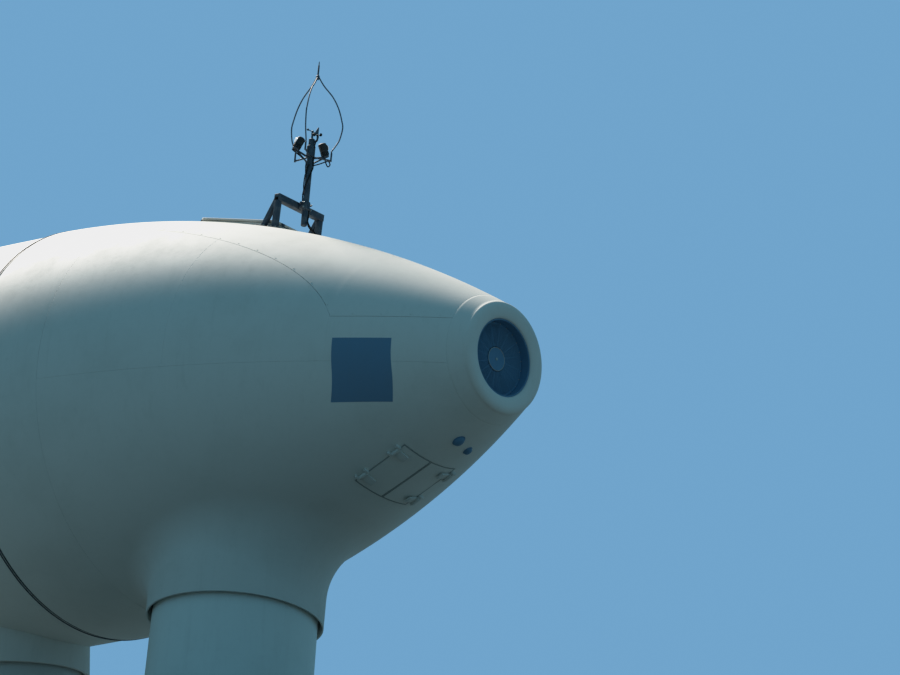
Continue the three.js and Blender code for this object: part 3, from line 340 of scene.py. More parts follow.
GEL_COAT = finish_for("gel_coat", (0.77, 0.76, 0.71), (0.44, 0.44, 0.38), stains=0.16, streaks=0.13,
                      dust=0.10, gloss=0.62, size=90.0, tooth=0.0006, waviness=2.5, shine=0.22)
TOWER_PAINT = finish_for("tower_paint", (0.84, 0.90, 0.86), (0.44, 0.46, 0.43), stains=0.14, streaks=0.14,
                         dust=0.0, gloss=0.42, size=220.0, tooth=0.0004, waviness=1.0)
BLADE_COAT = finish_for("blade_coat", (0.62, 0.63, 0.60), (0.36, 0.37, 0.34), stains=0.16, streaks=0.25,
                        dust=0.1, gloss=0.40, size=90.0, tooth=0.0005, waviness=1.2)
CASTING = finish_for("primed_casting", (0.30, 0.33, 0.34), (0.14, 0.14, 0.13), stains=0.5, streaks=0.2,
                     dust=0.3, gloss=0.55, size=60.0, tooth=0.0016, metallic=0.2)
DARK_PAINT = finish_for("dark_blue_paint", (0.105, 0.235, 0.375), (0.12, 0.20, 0.26), stains=0.35,
                        streaks=0.2, dust=0.25, gloss=0.48, size=160.0, tooth=0.0004)
DARK_ZINC = finish_for("dark_zinc", (0.042, 0.062, 0.088), (0.070, 0.078, 0.080), stains=0.4, streaks=0.3,
                       dust=0.3, gloss=0.55, size=140.0, tooth=0.0004, metallic=0.1,
                       bare=(0.075, 0.098, 0.122), bare_scale=9.0, bare_amount=0.3)
HINGE_PAINT = finish_for("hinge_paint", (0.68, 0.68, 0.64), (0.40, 0.40, 0.34), stains=0.25, streaks=0.2,
                         dust=0.1, gloss=0.78, size=180.0, tooth=0.0004)
STEEL = finish_for("bolt_steel", (0.42, 0.43, 0.42), (0.20, 0.17, 0.13), stains=0.4, streaks=0.2,
                   dust=0.2, gloss=0.38, size=200.0, tooth=0.0003, metallic=0.9)
HATCH_LAMINATE = finish_for("hatch_laminate", (0.50, 0.51, 0.47), (0.27, 0.28, 0.26), stains=0.4,
                            streaks=0.35, dust=0.3, gloss=0.6, size=70.0, tooth=0.0009,
                            bare=(0.53, 0.54, 0.51), bare_scale=3.0, bare_amount=0.3)
DARK_PLASTIC = finish_for("dark_plastic", (0.022, 0.026, 0.030), (0.09, 0.09, 0.08), stains=0.4,
                          streaks=0.2, dust=0.4, gloss=0.5, size=260.0, tooth=0.0003)
RUBBER = finish_for("black_rubber", (0.016, 0.017, 0.018), (0.07, 0.07, 0.065), stains=0.3, streaks=0.2,
                    dust=0.1, gloss=0.9, size=320.0, tooth=0.0004, shine=0.1)
# The grey sealant is painted shade: it darkens the outline of the floor leaves.
GAP_SHADE_SEALANT = finish_for("grey_painted_gap_shade", (0.33, 0.35, 0.34), (0.08, 0.08, 0.07), stains=0.4, streaks=0.3,
                     dust=0.2, gloss=0.7, size=150.0, tooth=0.0004)
MARK_BLUE = finish_for("dark_blue_film", (0.120, 0.240, 0.370), (0.16, 0.22, 0.28), stains=0.25,
                       streaks=0.2, dust=0.0, gloss=0.42, size=180.0, tooth=0.0002)
CAGE_ZINC = finish_for("cage_zinc", (0.075, 0.115, 0.160), (0.07, 0.08, 0.08), stains=0.4, streaks=0.1,
                       dust=0.2, gloss=0.5, size=180.0, tooth=0.0003, metallic=0.3)
print("finishes", len([m for m in bpy.data.materials if m.use_nodes]))

# %% [markdown]
# The lenses of the lamps are of milky plastic. A Principled BSDF with a little transmission
# gives its depth, and a weak emission paints a highlight on it: a painted reflection of the
# bright sky in the reflector behind the lens. Smudges vary its colour and its gloss.

# %% Lens material
LENS_CLEAN, LENS_SMUDGED = (0.86, 0.88, 0.90, 1), (0.70, 0.72, 0.72, 1)
# The emission colour and strength paint a highlight on the lens, a painted reflection.
LENS_PAINTED_HIGHLIGHT, PAINTED_HIGHLIGHT_STRENGTH, LENS_CLEARNESS, PLASTIC_INDEX = (0.85, 0.92, 1.0, 1), 0.45, 0.2, 1.49

LENS, shade = new_material("clear_lens")
smudge = noise(shade.add("ShaderNodeTexCoord").outputs["Object"], 40.0, 4.0).outputs[0]
look = shade.add("ShaderNodeBsdfPrincipled", {
    "Base Color": shade.mix(smudge, LENS_CLEAN, LENS_SMUDGED),
    "Roughness": shade.between(smudge, 0.3, 0.7, 0.05, 0.22), "Transmission Weight": LENS_CLEARNESS,
    "IOR": PLASTIC_INDEX, "Emission Color": LENS_PAINTED_HIGHLIGHT, "Emission Strength": PAINTED_HIGHLIGHT_STRENGTH})
shade.add("ShaderNodeOutputMaterial", {"Surface": look.outputs[0]})
print("lens glow", PAINTED_HIGHLIGHT_STRENGTH)

# %% [markdown]
# The nacelle leans back by two degrees, so its pieces are worked out in its own directions:
# s runs along the rotor axis towards the tail, y across and z up. A point on the cover is
# given by s and by its angle from the top. The cover's radius falls off as a parabola from
# its widest place, which gives the long egg shape of the real moulding.

# %% Laws of the cover and the spinner
TILT = math.radians(2)
AXIS_HEIGHT = 4.94
EGG_RADIUS, EGG_WIDEST, EGG_LENGTH = 2.66, -2.8, 8.2
SPINNER_RADIUS, SPINNER_SHOULDER, SPINNER_TIP = 2.64, -3.7, -6.4
WALL = 0.04
SEAM, HOOD_SEAM, EDGE_ROUND = 0.0006, 0.0028, 0.0008
BUILD_TO_TOWER = Matrix.Translation((0, 0, AXIS_HEIGHT)) @ Matrix.Rotation(TILT, 4, "Y")
UP = Vector((0, 0, 1))


def egg_radius(s):
    """Radius of the cover at a station along the axis."""
    return EGG_RADIUS * (1 - ((s - EGG_WIDEST) / EGG_LENGTH) ** 2)


def spinner_radius(s):
    """Radius of the spinner: a cylinder behind its shoulder and half an ellipse before it."""
    if s > SPINNER_SHOULDER:
        return SPINNER_RADIUS
    share = (s - SPINNER_SHOULDER) / (SPINNER_TIP - SPINNER_SHOULDER)
    return SPINNER_RADIUS * math.sqrt(max(0.0, 1 - share ** 2))


def in_tower(point):
    """A point of the nacelle's own directions in the tower's frame."""
    return BUILD_TO_TOWER @ Vector(point)


def spun(s, radius, angle):
    """A point at an angle from the top, positive towards +Y."""
    return in_tower((s, radius * math.sin(angle), radius * math.cos(angle)))


print("cover radius at its widest and over the tower",
      [round(egg_radius(s), 3) for s in (EGG_WIDEST, 0)])

# %% [markdown]
# Small helpers turn rows of points into meshes. One joins a grid of points into faces, and
# the others use it for a wall between two grids, a turned profile, a box and a cylinder.
# Each mesh is welded, and its faces are turned outwards before it is used.

# %% Helpers for meshes
SHARP, WELD_DISTANCE = math.radians(35), 1e-6
TURN_UP = Matrix.Rotation(-math.pi / 2, 4, "Y")


def reworked(mesh, *steps):
    """The mesh after steps that each work on its editable copy."""
    build = bmesh.new()
    build.from_mesh(mesh)
    for step in steps:
        step(build)
    build.to_mesh(mesh)
    build.free()
    return mesh


def welded_up(build):
    bmesh.ops.remove_doubles(build, verts=build.verts, dist=WELD_DISTANCE)


def turned_out(build):
    bmesh.ops.recalc_face_normals(build, faces=build.faces)


def smoothed(build):
    """Smooth faces, with the edges that turn more than SHARP kept sharp."""
    for face in build.faces:
        face.smooth = True
    for edge in build.edges:
        edge.smooth = len(edge.link_faces) == 2 and edge.calc_face_angle(math.pi) < SHARP


def mesh_of(name, points, faces):
    mesh = bpy.data.meshes.new(name)
    mesh.from_pydata([tuple(point) for point in points], [], faces)
    return reworked(mesh, welded_up, turned_out)


def grid_faces(rows, columns, start=0, closed=False, flip=False):
    """Quads of a grid whose points are stored row by row."""
    faces = []
    for i in range(rows - 1):
        for j in range(columns if closed else columns - 1):
            k = (j + 1) % columns
            quad = (start + i * columns + j, start + i * columns + k,
                    start + (i + 1) * columns + k, start + (i + 1) * columns + j)
            faces.append(quad[::-1] if flip else quad)
    return faces


def band(low, high, columns):
    """Quads between two closed rows of points that start at two numbers."""
    return [(low + j, low + (j + 1) % columns, high + (j + 1) % columns, high + j) for j in range(columns)]


def flat(grid):
    return [point for row in grid for point in row]


def wall_mesh(name, outer, inner):
    """A closed wall between an outer and an inner grid of points."""
    rows, columns = len(outer), len(outer[0])
    count = rows * columns
    faces = grid_faces(rows, columns) + grid_faces(rows, columns, start=count, flip=True)
    rim = list(range(columns)) + [i * columns + columns - 1 for i in range(1, rows)]
    rim += [(rows - 1) * columns + j for j in range(columns - 2, -1, -1)]
    rim += [i * columns for i in range(rows - 2, 0, -1)]
    for here, there in zip(rim, rim[1:] + rim[:1]):
        faces.append((here, there, there + count, here + count))
    return mesh_of(name, flat(outer) + flat(inner), faces)


def circle(radius, count):
    """Points of a circle, as (towards the second axis, towards the third axis)."""
    angles = [2 * math.pi * k / count for k in range(count)]
    return [(radius * math.sin(angle), radius * math.cos(angle)) for angle in angles]


def revolved(name, profile, turns=180, matrix=BUILD_TO_TOWER):
    """A closed profile of (along, radius) spun about the first axis of a matrix."""
    points = [matrix @ Vector((along, y, z)) for along, radius in profile for y, z in circle(radius, turns)]
    faces = grid_faces(len(profile), turns, closed=True) + band((len(profile) - 1) * turns, 0, turns)
    return mesh_of(name, points, faces)


def box_mesh(name, low, high, matrix=BUILD_TO_TOWER):
    """A box between two corners, in the directions of a matrix."""
    corners = [matrix @ Vector((x, y, z)) for x in (low[0], high[0]) for y in (low[1], high[1])
               for z in (low[2], high[2])]
    faces = [(0, 1, 3, 2), (4, 6, 7, 5), (0, 4, 5, 1), (2, 3, 7, 6), (0, 2, 6, 4), (1, 5, 7, 3)]
    return mesh_of(name, corners, faces)


def tube_mesh(name, low, high, radius, matrix, turns=96):
    """A solid cylinder along the first axis of a matrix."""
    return revolved(name, [(low, 0), (low, radius), (high, radius), (high, 0)], turns, matrix)


def spread(low, high, step, edge=0.0):
    """Evenly spaced values, with one more close to each end for a rounded edge."""
    count = max(1, math.ceil((high - low) / step))
    values = [low + (high - low) * i / count for i in range(count + 1)]
    if edge:
        values = [low, low + edge] + values[1:-1] + [high - edge, high]
    return values


print("sharp edges turn more than", round(math.degrees(SHARP)), "degrees")

# %% [markdown]
# A finished mesh becomes a piece: it rides on a body, fills a material slot and stands for
# the CAD nodes that it replaces. Cutting, joining and rounding use Blender's modifiers, and
# each result is converted to a plain mesh at once, so no piece keeps a live modifier.

# %% Helpers for pieces
BEVEL_LIMIT = math.radians(40)


def new_object(name, mesh):
    obj = bpy.data.objects.new(name, mesh)
    scene.collection.objects.link(obj)
    return obj


def finished(mesh, body, material, slot, *nodes):
    """The mesh as a piece: it rides on a body and stands for the CAD nodes named."""
    reworked(mesh, smoothed)
    if not mesh.materials:
        mesh.materials.append(material)
    obj = new_object(mesh.name, mesh)
    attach(obj, body)
    if nodes:
        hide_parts(*nodes)


def baked(obj):
    """A plain mesh of an object with its modifiers applied; the object is removed."""
    bpy.context.view_layer.update()
    evaluated = obj.evaluated_get(bpy.context.evaluated_depsgraph_get())
    mesh = bpy.data.meshes.new_from_object(evaluated)
    mesh.name = obj.name
    bpy.data.objects.remove(obj)
    return mesh


def cut(mesh, *cutters, operation="DIFFERENCE"):
    """The mesh less each cutter mesh, or what it shares with it."""
    obj = new_object(mesh.name, mesh)
    tools = [new_object("cutter", cutter) for cutter in cutters]
    for tool in tools:
        modifier = obj.modifiers.new("cut", "BOOLEAN")
        modifier.operation, modifier.solver, modifier.object = operation, "EXACT", tool
    name = mesh.name
    result = baked(obj)
    for tool in tools:
        bpy.data.objects.remove(tool)
    result.name = name
    return result


def joined(name, meshes, bevel=0.0, segments=2):
    """One mesh of several, with rounded edges if a bevel is given."""
    build = bmesh.new()
    for mesh in meshes:
        build.from_mesh(mesh)
        bpy.data.meshes.remove(mesh)
    mesh = bpy.data.meshes.new(name)
    build.to_mesh(mesh)
    build.free()
    if not bevel:
        return mesh
    obj = new_object(name, mesh)
    rounding = obj.modifiers.new("edges", "BEVEL")
    rounding.width, rounding.segments, rounding.limit_method = bevel, segments, "ANGLE"
    rounding.angle_limit = BEVEL_LIMIT
    return baked(obj)


print("edges are rounded where they turn more than", round(math.degrees(BEVEL_LIMIT)), "degrees")

# %% [markdown]
# Fasteners, fan blades and cable ties repeat, so small Geometry Nodes trees set them out. A
# tree has named inputs for its sizes. Its last two nodes turn the instances into real faces
# and give them their material, so that nothing is lost when the piece becomes a plain mesh.

# %% Helpers for Geometry Nodes
PIECE_MATERIAL, WHOLE = "Material", "NodeSocketInt"


def new_tree(name, inputs):
    """A Geometry Nodes tree with named inputs, a Geometry input and a Material input."""
    tree = bpy.data.node_groups.new(name, "GeometryNodeTree")
    tree.interface.new_socket("Geometry", in_out="INPUT", socket_type="NodeSocketGeometry")
    for label, (kind, value) in inputs.items():
        tree.interface.new_socket(label, in_out="INPUT", socket_type=kind).default_value = value
    tree.interface.new_socket(PIECE_MATERIAL, in_out="INPUT", socket_type="NodeSocketMaterial")
    tree.interface.new_socket("Geometry", in_out="OUTPUT", socket_type="NodeSocketGeometry")
    return tree, Nodes(tree), tree.nodes.new("NodeGroupInput").outputs


def end_tree(nodes, given, geometry):
    """The close of each tree: real faces, their material, and the group's output."""
    real = nodes.add("GeometryNodeRealizeInstances", {"Geometry": geometry})
    painted = nodes.add("GeometryNodeSetMaterial", {"Geometry": real, "Material": given[PIECE_MATERIAL]})
    nodes.join(painted, nodes.tree.nodes.new("NodeGroupOutput").inputs["Geometry"])


def grown(name, mesh, tree, material, **values):
    """The plain mesh that a tree makes of a mesh, with its inputs set by their identifiers."""
    obj = new_object(name, mesh)
    modifier = obj.modifiers.new("tree", "NODES")
    modifier.node_group = tree
    labels = {item.name: item.identifier for item in tree.interface.items_tree if item.in_out == "INPUT"}
    for label, value in values.items():
        modifier[labels[label.replace("_", " ")]] = value
    modifier[labels[PIECE_MATERIAL]] = material
    return baked(obj)


print("each tree ends in the input named", PIECE_MATERIAL)

# %% [markdown]
# A fastener is a washer under a hexagon head, set on every point of a mesh. Each point keeps
# the direction that its bolt stands out in, and a seeded random turn leaves no two heads
# quite in line, as on real work.

# %% Fastener tree
HEX, ROUND_HEAD = 6, 12

fasteners, build, given = new_tree("fasteners", {
    "Head Radius": (NUMBER, 0.014),
    "Head Height": (NUMBER, 0.010),
    "Head Sides": (WHOLE, HEX),
    "Washer Radius": (NUMBER, 0.020),
    "Washer Height": (NUMBER, 0.003),
    "Seed": (WHOLE, 7),
})


def stacked_disc(sides, radius, height, low):
    """A disc whose lower face lies at a height."""
    disc = build.add("GeometryNodeMeshCylinder", {"Vertices": sides, "Radius": radius, "Depth": height})
    lift = build.add("ShaderNodeCombineXYZ", {"Z": build.math("MULTIPLY_ADD", height, 0.5, low)})
    return build.add("GeometryNodeTransform", {"Geometry": disc, "Translation": lift})


washer = stacked_disc(ROUND_HEAD, given["Washer Radius"], given["Washer Height"], 0.0)
head = stacked_disc(given["Head Sides"], given["Head Radius"], given["Head Height"], given["Washer Height"])
bolt = build.add("GeometryNodeJoinGeometry")
build.join(washer, bolt.inputs[0])
build.join(head, bolt.inputs[0])
outward = build.add("GeometryNodeInputNamedAttribute", {"Name": "outward"}, data_type="FLOAT_VECTOR")
stand = build.add("FunctionNodeAlignRotationToVector", {"Vector": outward.outputs["Attribute"]}, axis="Z")
any_turn = build.add("FunctionNodeRandomValue", {"Seed": given["Seed"]}, data_type="FLOAT").outputs[1]
spin = build.add("FunctionNodeAxisAngleToRotation", {
    "Axis": (0, 0, 1), "Angle": build.math("MULTIPLY", any_turn, math.tau)})
turned = build.add("FunctionNodeRotateRotation", {"Rotation": stand, "Rotate By": spin},
                   rotation_space="LOCAL")
set_out = build.add("GeometryNodeInstanceOnPoints", {
    "Points": given["Geometry"], "Instance": bolt, "Rotation": turned})
end_tree(build, given, set_out)


def bolted(name, spots, body, node, material=STEEL, slot="galvanised", **sizes):
    """A piece of fasteners on spots given as (point, direction out of the surface)."""
    mesh = bpy.data.meshes.new(name)
    mesh.from_pydata([tuple(point) for point, _ in spots], [], [])
    out = mesh.attributes.new("outward", "FLOAT_VECTOR", "POINT")
    out.data.foreach_set("vector", [value for _, way in spots for value in Vector(way).normalized()])
    finished(grown(name, mesh, fasteners, material, **sizes), body, material, slot, node)


def bolt_circle(matrix, along, radius, count):
    """Spots on a circle about the first axis of a matrix, each facing along that axis."""
    way = matrix.to_3x3() @ Vector((1, 0, 0))
    return [(matrix @ Vector((along, y, z)), way) for y, z in circle(radius, count)]


print("fastener tree nodes", len(fasteners.nodes))

# %% [markdown]
# Blades, spokes and ribs go round an axis in equal turns. This tree repeats one mesh about
# the first axis of the nacelle, through a given centre.

# %% Tree for turned copies
turned_copies, build, given = new_tree("turned_copies", {
    "Count": (WHOLE, 7),
    "Axis": (VECTOR, (1, 0, 0)),
    "Centre": (VECTOR, (0, 0, 0)),
})
single = build.add("GeometryNodeGeometryToInstance", {"Geometry": given["Geometry"]})
copies = build.add("GeometryNodeDuplicateElements", {
    "Geometry": single, "Amount": given["Count"]}, domain="INSTANCE")
step = build.math("DIVIDE", math.tau, given["Count"])
angle = build.math("MULTIPLY", copies.outputs["Duplicate Index"], step)
about = build.add("FunctionNodeAxisAngleToRotation", {"Axis": given["Axis"], "Angle": angle})
swung = build.add("GeometryNodeRotateInstances", {
    "Instances": copies.outputs["Geometry"], "Rotation": about, "Pivot Point": given["Centre"],
    "Local Space": False})
end_tree(build, given, swung)
print("turned copies tree nodes", len(turned_copies.nodes))

# %% [markdown]
# A cable follows a path: the path becomes a curve, a round profile runs along it, and ties
# are set on it at even steps, each turned to lie across the cable.

# %% Cable tree
cables, build, given = new_tree("cables", {
    "Cable Radius": (NUMBER, 0.009),
    "Tie Step": (NUMBER, 0.25),
    "Tie Radius": (NUMBER, 0.013),
    "Tie Width": (NUMBER, 0.008),
})
path = build.add("GeometryNodeMeshToCurve", {"Mesh": given["Geometry"]})
section = build.add("GeometryNodeCurvePrimitiveCircle", {"Resolution": 10, "Radius": given["Cable Radius"]})
cable = build.add("GeometryNodeCurveToMesh", {
    "Curve": path, "Profile Curve": section.outputs["Curve"], "Fill Caps": True})
rounded_cable = build.add("GeometryNodeSetShadeSmooth", {"Geometry": cable})
places = build.add("GeometryNodeCurveToPoints", {"Curve": path, "Length": given["Tie Step"]}, mode="LENGTH")
tie = build.add("GeometryNodeMeshCylinder", {
    "Vertices": 12, "Radius": given["Tie Radius"], "Depth": given["Tie Width"]})
ties = build.add("GeometryNodeInstanceOnPoints", {
    "Points": places.outputs["Points"], "Instance": tie.outputs["Mesh"],
    "Rotation": places.outputs["Rotation"]})
both = build.add("GeometryNodeJoinGeometry")
build.join(rounded_cable, both.inputs[0])
build.join(ties, both.inputs[0])
end_tree(build, given, both)


def path_mesh(name, points):
    """A mesh of edges only, from point to point."""
    mesh = bpy.data.meshes.new(name)
    mesh.from_pydata([tuple(point) for point in points], [(k, k + 1) for k in range(len(points) - 1)], [])
    return mesh


print("cable tree nodes", len(cables.nodes))

# %% [markdown]
# The front ring is a main piece whose shape follows a rule, so a tree draws it from that
# rule alone. A flat grid is bent: one side of it runs down the outside of the wall and back
# along the inside, the other side runs once round the axis.

# %% Tree for a ring of the egg
egg_ring, build, given = new_tree("egg_ring", {
    "Egg Radius": (NUMBER, 2.66),
    "Widest": (NUMBER, -2.8),
    "Egg Length": (NUMBER, 8.2),
    "From": (NUMBER, -2.6),
    "To": (NUMBER, -1.4),
    "Wall": (NUMBER, 0.04),
    "Rounding": (NUMBER, 0.003),
    "Rows": (WHOLE, 20),
    "Turns": (WHOLE, 200),
})
lengthways = build.math("MULTIPLY_ADD", given["Rows"], 2.0, 1.0)
sheet = build.add("GeometryNodeMeshGrid", {"Size X": 2.0, "Size Y": 1.0})
build.join(lengthways, sheet.inputs["Vertices X"])
build.join(build.math("ADD", given["Turns"], 1.0), sheet.inputs["Vertices Y"])
across = build.add("ShaderNodeSeparateXYZ", {0: build.add("GeometryNodeInputPosition")})
fold = build.math("SUBTRACT", 1.0, build.math("ABSOLUTE", across.outputs["X"]))
is_inside = build.math("LESS_THAN", across.outputs["X"], 0.0)
run = build.math("SUBTRACT", given["To"], given["From"])
station = build.math("MULTIPLY_ADD", fold, run, given["From"])
off = build.math("DIVIDE", build.math("SUBTRACT", station, given["Widest"]), given["Egg Length"])
narrowing = build.math("SUBTRACT", 1.0, build.math("MULTIPLY", off, off))
law = build.math("MULTIPLY", given["Egg Radius"], narrowing)
from_front = build.math("SUBTRACT", station, given["From"])
from_rear = build.math("SUBTRACT", given["To"], station)
near_end = build.math("LESS_THAN", build.math("MINIMUM", from_front, from_rear), given["Rounding"])
edge_drop = build.math("MULTIPLY", near_end, given["Rounding"])
depth = build.math("MULTIPLY", is_inside, given["Wall"])
radius = build.math("SUBTRACT", build.math("SUBTRACT", law, edge_drop), depth)
around_axis = build.math("MULTIPLY", build.math("ADD", across.outputs["Y"], 0.5), math.tau)
bent = build.add("ShaderNodeCombineXYZ", {
    "X": station, "Y": build.math("MULTIPLY", radius, build.math("SINE", around_axis)),
    "Z": build.math("MULTIPLY", radius, build.math("COSINE", around_axis))})
drawn = build.add("GeometryNodeSetPosition", {"Geometry": sheet.outputs["Mesh"], "Position": bent})
welded = build.add("GeometryNodeMergeByDistance", {"Geometry": drawn, "Distance": 0.0002})
end_tree(build, given, welded)
print("trees", [group.name for group in bpy.data.node_groups if group.bl_idname == "GeometryNodeTree"])

# %% [markdown]
# The roof hood, the side panels and the front ring are walls on the egg. Their edges are
# drawn a little apart, and the outermost row of points dips, so that a seam is a fine
# rounded groove that holds a shadow, as between real mouldings.

# %% Seams of the cover
GAP_REAR, RING_SEAM, SIDE_SEAM, TAIL_SEAM = -2.61, -1.4, 0.45, 4.0
HOOD_HALF_WIDTH, HOOD_LOW, BELLY_TOP = 1.49, 0.3, -0.3
HOOD_CORNER = EGG_WIDEST + EGG_LENGTH * math.sqrt(1 - math.hypot(HOOD_HALF_WIDTH, HOOD_LOW) / EGG_RADIUS)
ROW_STEP, ANGLE_STEP = 0.09, math.radians(2.0)


def hood_edge(s):
    """Angle from the top to the hood's side edge."""
    radius = egg_radius(s)
    if s < HOOD_CORNER:
        return math.asin(HOOD_HALF_WIDTH / radius)
    return math.acos(HOOD_LOW / radius)


def belly_edge(s):
    """Angle from the top to the upper edge of the belly."""
    return math.acos(BELLY_TOP / egg_radius(s))


def cover_panel(name, s_low, s_high, angle_low, angle_high, gaps):
    """A wall on the egg between two stations and two laws of the angle."""
    places = spread(s_low + SEAM, s_high - SEAM, ROW_STEP, 2 * EDGE_ROUND)
    places += [places[0] + 4 * EDGE_ROUND, places[-1] - 4 * EDGE_ROUND]
    places = sorted(places + [HOOD_CORNER] * (s_low < HOOD_CORNER < s_high))
    widest = max(angle_high(s) - angle_low(s) for s in places)
    shares = spread(0, 1, ANGLE_STEP / widest)
    outer, inner = [], []
    for i, s in enumerate(places):
        radius = egg_radius(s)
        low, high = angle_low(s) + gaps[0] / radius, angle_high(s) - gaps[1] / radius
        near = 2 * EDGE_ROUND / (radius * (high - low))
        stations = [0, near, 2 * near, *shares[1:-1], 1 - 2 * near, 1 - near, 1]
        row = []
        for j, share in enumerate(stations):
            at_edge = i in (0, len(places) - 1) or j in (0, len(stations) - 1)
            row.append((radius - EDGE_ROUND * at_edge, low + (high - low) * share))
        outer.append([spun(s, height, angle) for height, angle in row])
        inner.append([spun(s, radius - WALL, angle) for _, angle in row])
    return wall_mesh(name, outer, inner)


print("hood corner at", round(HOOD_CORNER, 3))

# %% [markdown]
# The front ring is one laminate band, so it comes straight from the tree, with the egg's own
# values as its inputs. A lip turns inwards behind its front edge and stiffens the opening.

# %% Front ring
RING_ROWS, RING_TURNS = 28, 216
LIP_PROFILE = [(0.0255, -WALL), (0.0255, -0.138), (0.021, -0.1415), (0.004, -0.1415), (0.0002, -0.138),
               (0.0002, -0.0062), (0.002, -0.0050), (0.010, -0.0042), (0.0255, -0.0042)]


def moved(along, radius, steps):
    """A profile given as steps from a place along the axis and a radius."""
    return [(along + s, radius + rise) for s, rise in steps]


ring_skin = grown("front_ring_laminate", bpy.data.meshes.new("front_ring_laminate"), egg_ring, GEL_COAT,
                  Egg_Radius=EGG_RADIUS, Widest=EGG_WIDEST, Egg_Length=EGG_LENGTH, From=GAP_REAR,
                  To=RING_SEAM - SEAM, Wall=WALL, Rounding=EDGE_ROUND / 2, Rows=RING_ROWS, Turns=RING_TURNS)
ring_skin.transform(BUILD_TO_TOWER)
finished(reworked(ring_skin, turned_out), "nacelle", GEL_COAT, "gelcoat", "front_ring")
front_lip = revolved("front_ring_lip", moved(GAP_REAR, egg_radius(GAP_REAR), LIP_PROFILE), RING_TURNS)
finished(front_lip, "nacelle", GEL_COAT, "gelcoat", "front_ring")
print("front ring", len(ring_skin.polygons), "faces")

# %% [markdown]
# The rotor turns in front of the ring, and the gap between them shows as a dark line. A
# rubber seal lies in the gap, and a narrow dark trim on each side of it paints shade along
# the gap's edges, so the dark line reads wider. The front trim turns with the rotor, so the
# two trims are separate pieces.

# %% Rotor gap
GAP_FRONT = -2.65
SEAL_FOOT, SEAL_CREST = 2.616, 2.637
TRIM_WIDTH, TRIM_SINK, TRIM_THICK, TRIM_ROUND = 0.010, 0.008, 0.012, 0.003

gap_seal = revolved("rotor_gap_seal", [
    (GAP_FRONT + 0.003, SEAL_FOOT), (GAP_FRONT + 0.003, SEAL_CREST - 0.003), (GAP_FRONT + 0.006, SEAL_CREST),
    (GAP_REAR - 0.001, SEAL_CREST), (GAP_REAR - 0.001, SEAL_FOOT)], RING_TURNS)
finished(gap_seal, "nacelle", RUBBER, "dark_paint", "front_ring")
# The dark trims are painted shade: they darken both edges of the rotor gap.
shade_trim_profile = [(0, 0), (0, 0.010), (TRIM_ROUND, TRIM_THICK), (TRIM_WIDTH - TRIM_ROUND, TRIM_THICK),
                (TRIM_WIDTH, 0.010), (TRIM_WIDTH, 0)]
for body, node, low in (("nacelle", "front_ring", GAP_REAR),
                        ("rotor", "spinner_shell", GAP_FRONT - TRIM_WIDTH)):
    trim = moved(low, egg_radius(GAP_REAR) - TRIM_SINK, shade_trim_profile)
    finished(revolved(f"gap_shade_trim_{body}", trim, RING_TURNS), body, DARK_ZINC, "dark_paint", node)
print("gap to the spinner", round(GAP_REAR - GAP_FRONT, 3))

# %% [markdown]
# The side panels and the roof hood lie between two laws of the angle. The hood's edge keeps
# its half width from the front ring on, so it comes down the egg in a long curve, and near
# the tail it runs level, a little above the rotor axis.

# %% Hood and side panels
SIDES = (("left", -1), ("right", 1))


def towards(side, law):
    """A law of the angle on one side of the top."""
    return lambda s: side * law(s)


for word, side in SIDES:
    for place_word, low, high in (("front", RING_SEAM, SIDE_SEAM), ("rear", SIDE_SEAM, TAIL_SEAM)):
        laws = sorted((towards(side, hood_edge), towards(side, belly_edge)), key=lambda law: law(0))
        gaps = (HOOD_SEAM, SEAM)[::side]
        panel = cover_panel(f"side_{place_word}_{word}", low, high, *laws, gaps)
        finished(panel, "nacelle", GEL_COAT, "gelcoat", f"side_panel_{place_word}_{word}")

hood = cover_panel("roof_hood_laminate", RING_SEAM, TAIL_SEAM, towards(-1, hood_edge), hood_edge,
                   (HOOD_SEAM, HOOD_SEAM))
print("hood points", len(hood.vertices))

# %% [markdown]
# Two holes go through the hood: a rectangular one under the roof hatch, and a round one near
# the tail whose flush lid is a disc of the same skin. Both are cut with the exact Boolean
# solver, and the lid is what the same cylinder keeps.

# %% Hood openings and tail hatch lid
HATCH_CENTRE, HATCH_LENGTH, HATCH_HALF, HATCH_RIM = -0.40, 1.36, 0.33, 0.05
TAIL_HATCH, TAIL_HATCH_RADIUS, LID_CLEARANCE = 2.575, 0.375, 0.010


def tail_hatch_column(radius):
    above = BUILD_TO_TOWER @ Matrix.Translation((TAIL_HATCH, 0, 0)) @ TURN_UP
    return tube_mesh("column", 0.3, EGG_RADIUS, radius, above)


hatch_reach = HATCH_LENGTH / 2 - 2 * HATCH_RIM
hatch_side = HATCH_HALF - 2 * HATCH_RIM
hatch_hole = box_mesh("hole", (HATCH_CENTRE - hatch_reach, -hatch_side, 1),
                      (HATCH_CENTRE + hatch_reach, hatch_side, 3))
whole_hood = hood.copy()
hood = cut(hood, hatch_hole, tail_hatch_column(TAIL_HATCH_RADIUS))
finished(hood, "nacelle", GEL_COAT, "gelcoat", "roof_hood")

lid = cut(whole_hood, tail_hatch_column(TAIL_HATCH_RADIUS - LID_CLEARANCE), operation="INTERSECT")
lid.name = "tail_hatch_disc"
finished(lid, "nacelle", GEL_COAT, "gelcoat", "tail_hatch_lid")
print("hood", len(hood.polygons), "faces; tail lid", len(lid.polygons), "faces")

# %% [markdown]
# The belly is one moulding with the collar round the tower top, and the two flow into each
# other. Its rows of points run from the collar's lower edge up the wall, round a hollow
# fillet that is wide at the tail and tight at the rotor, and out over the egg to the seam.
# The fillet's centre height is found by trying the arc's end at half-degree steps and
# taking the height at which the arc just touches the underside of the egg.

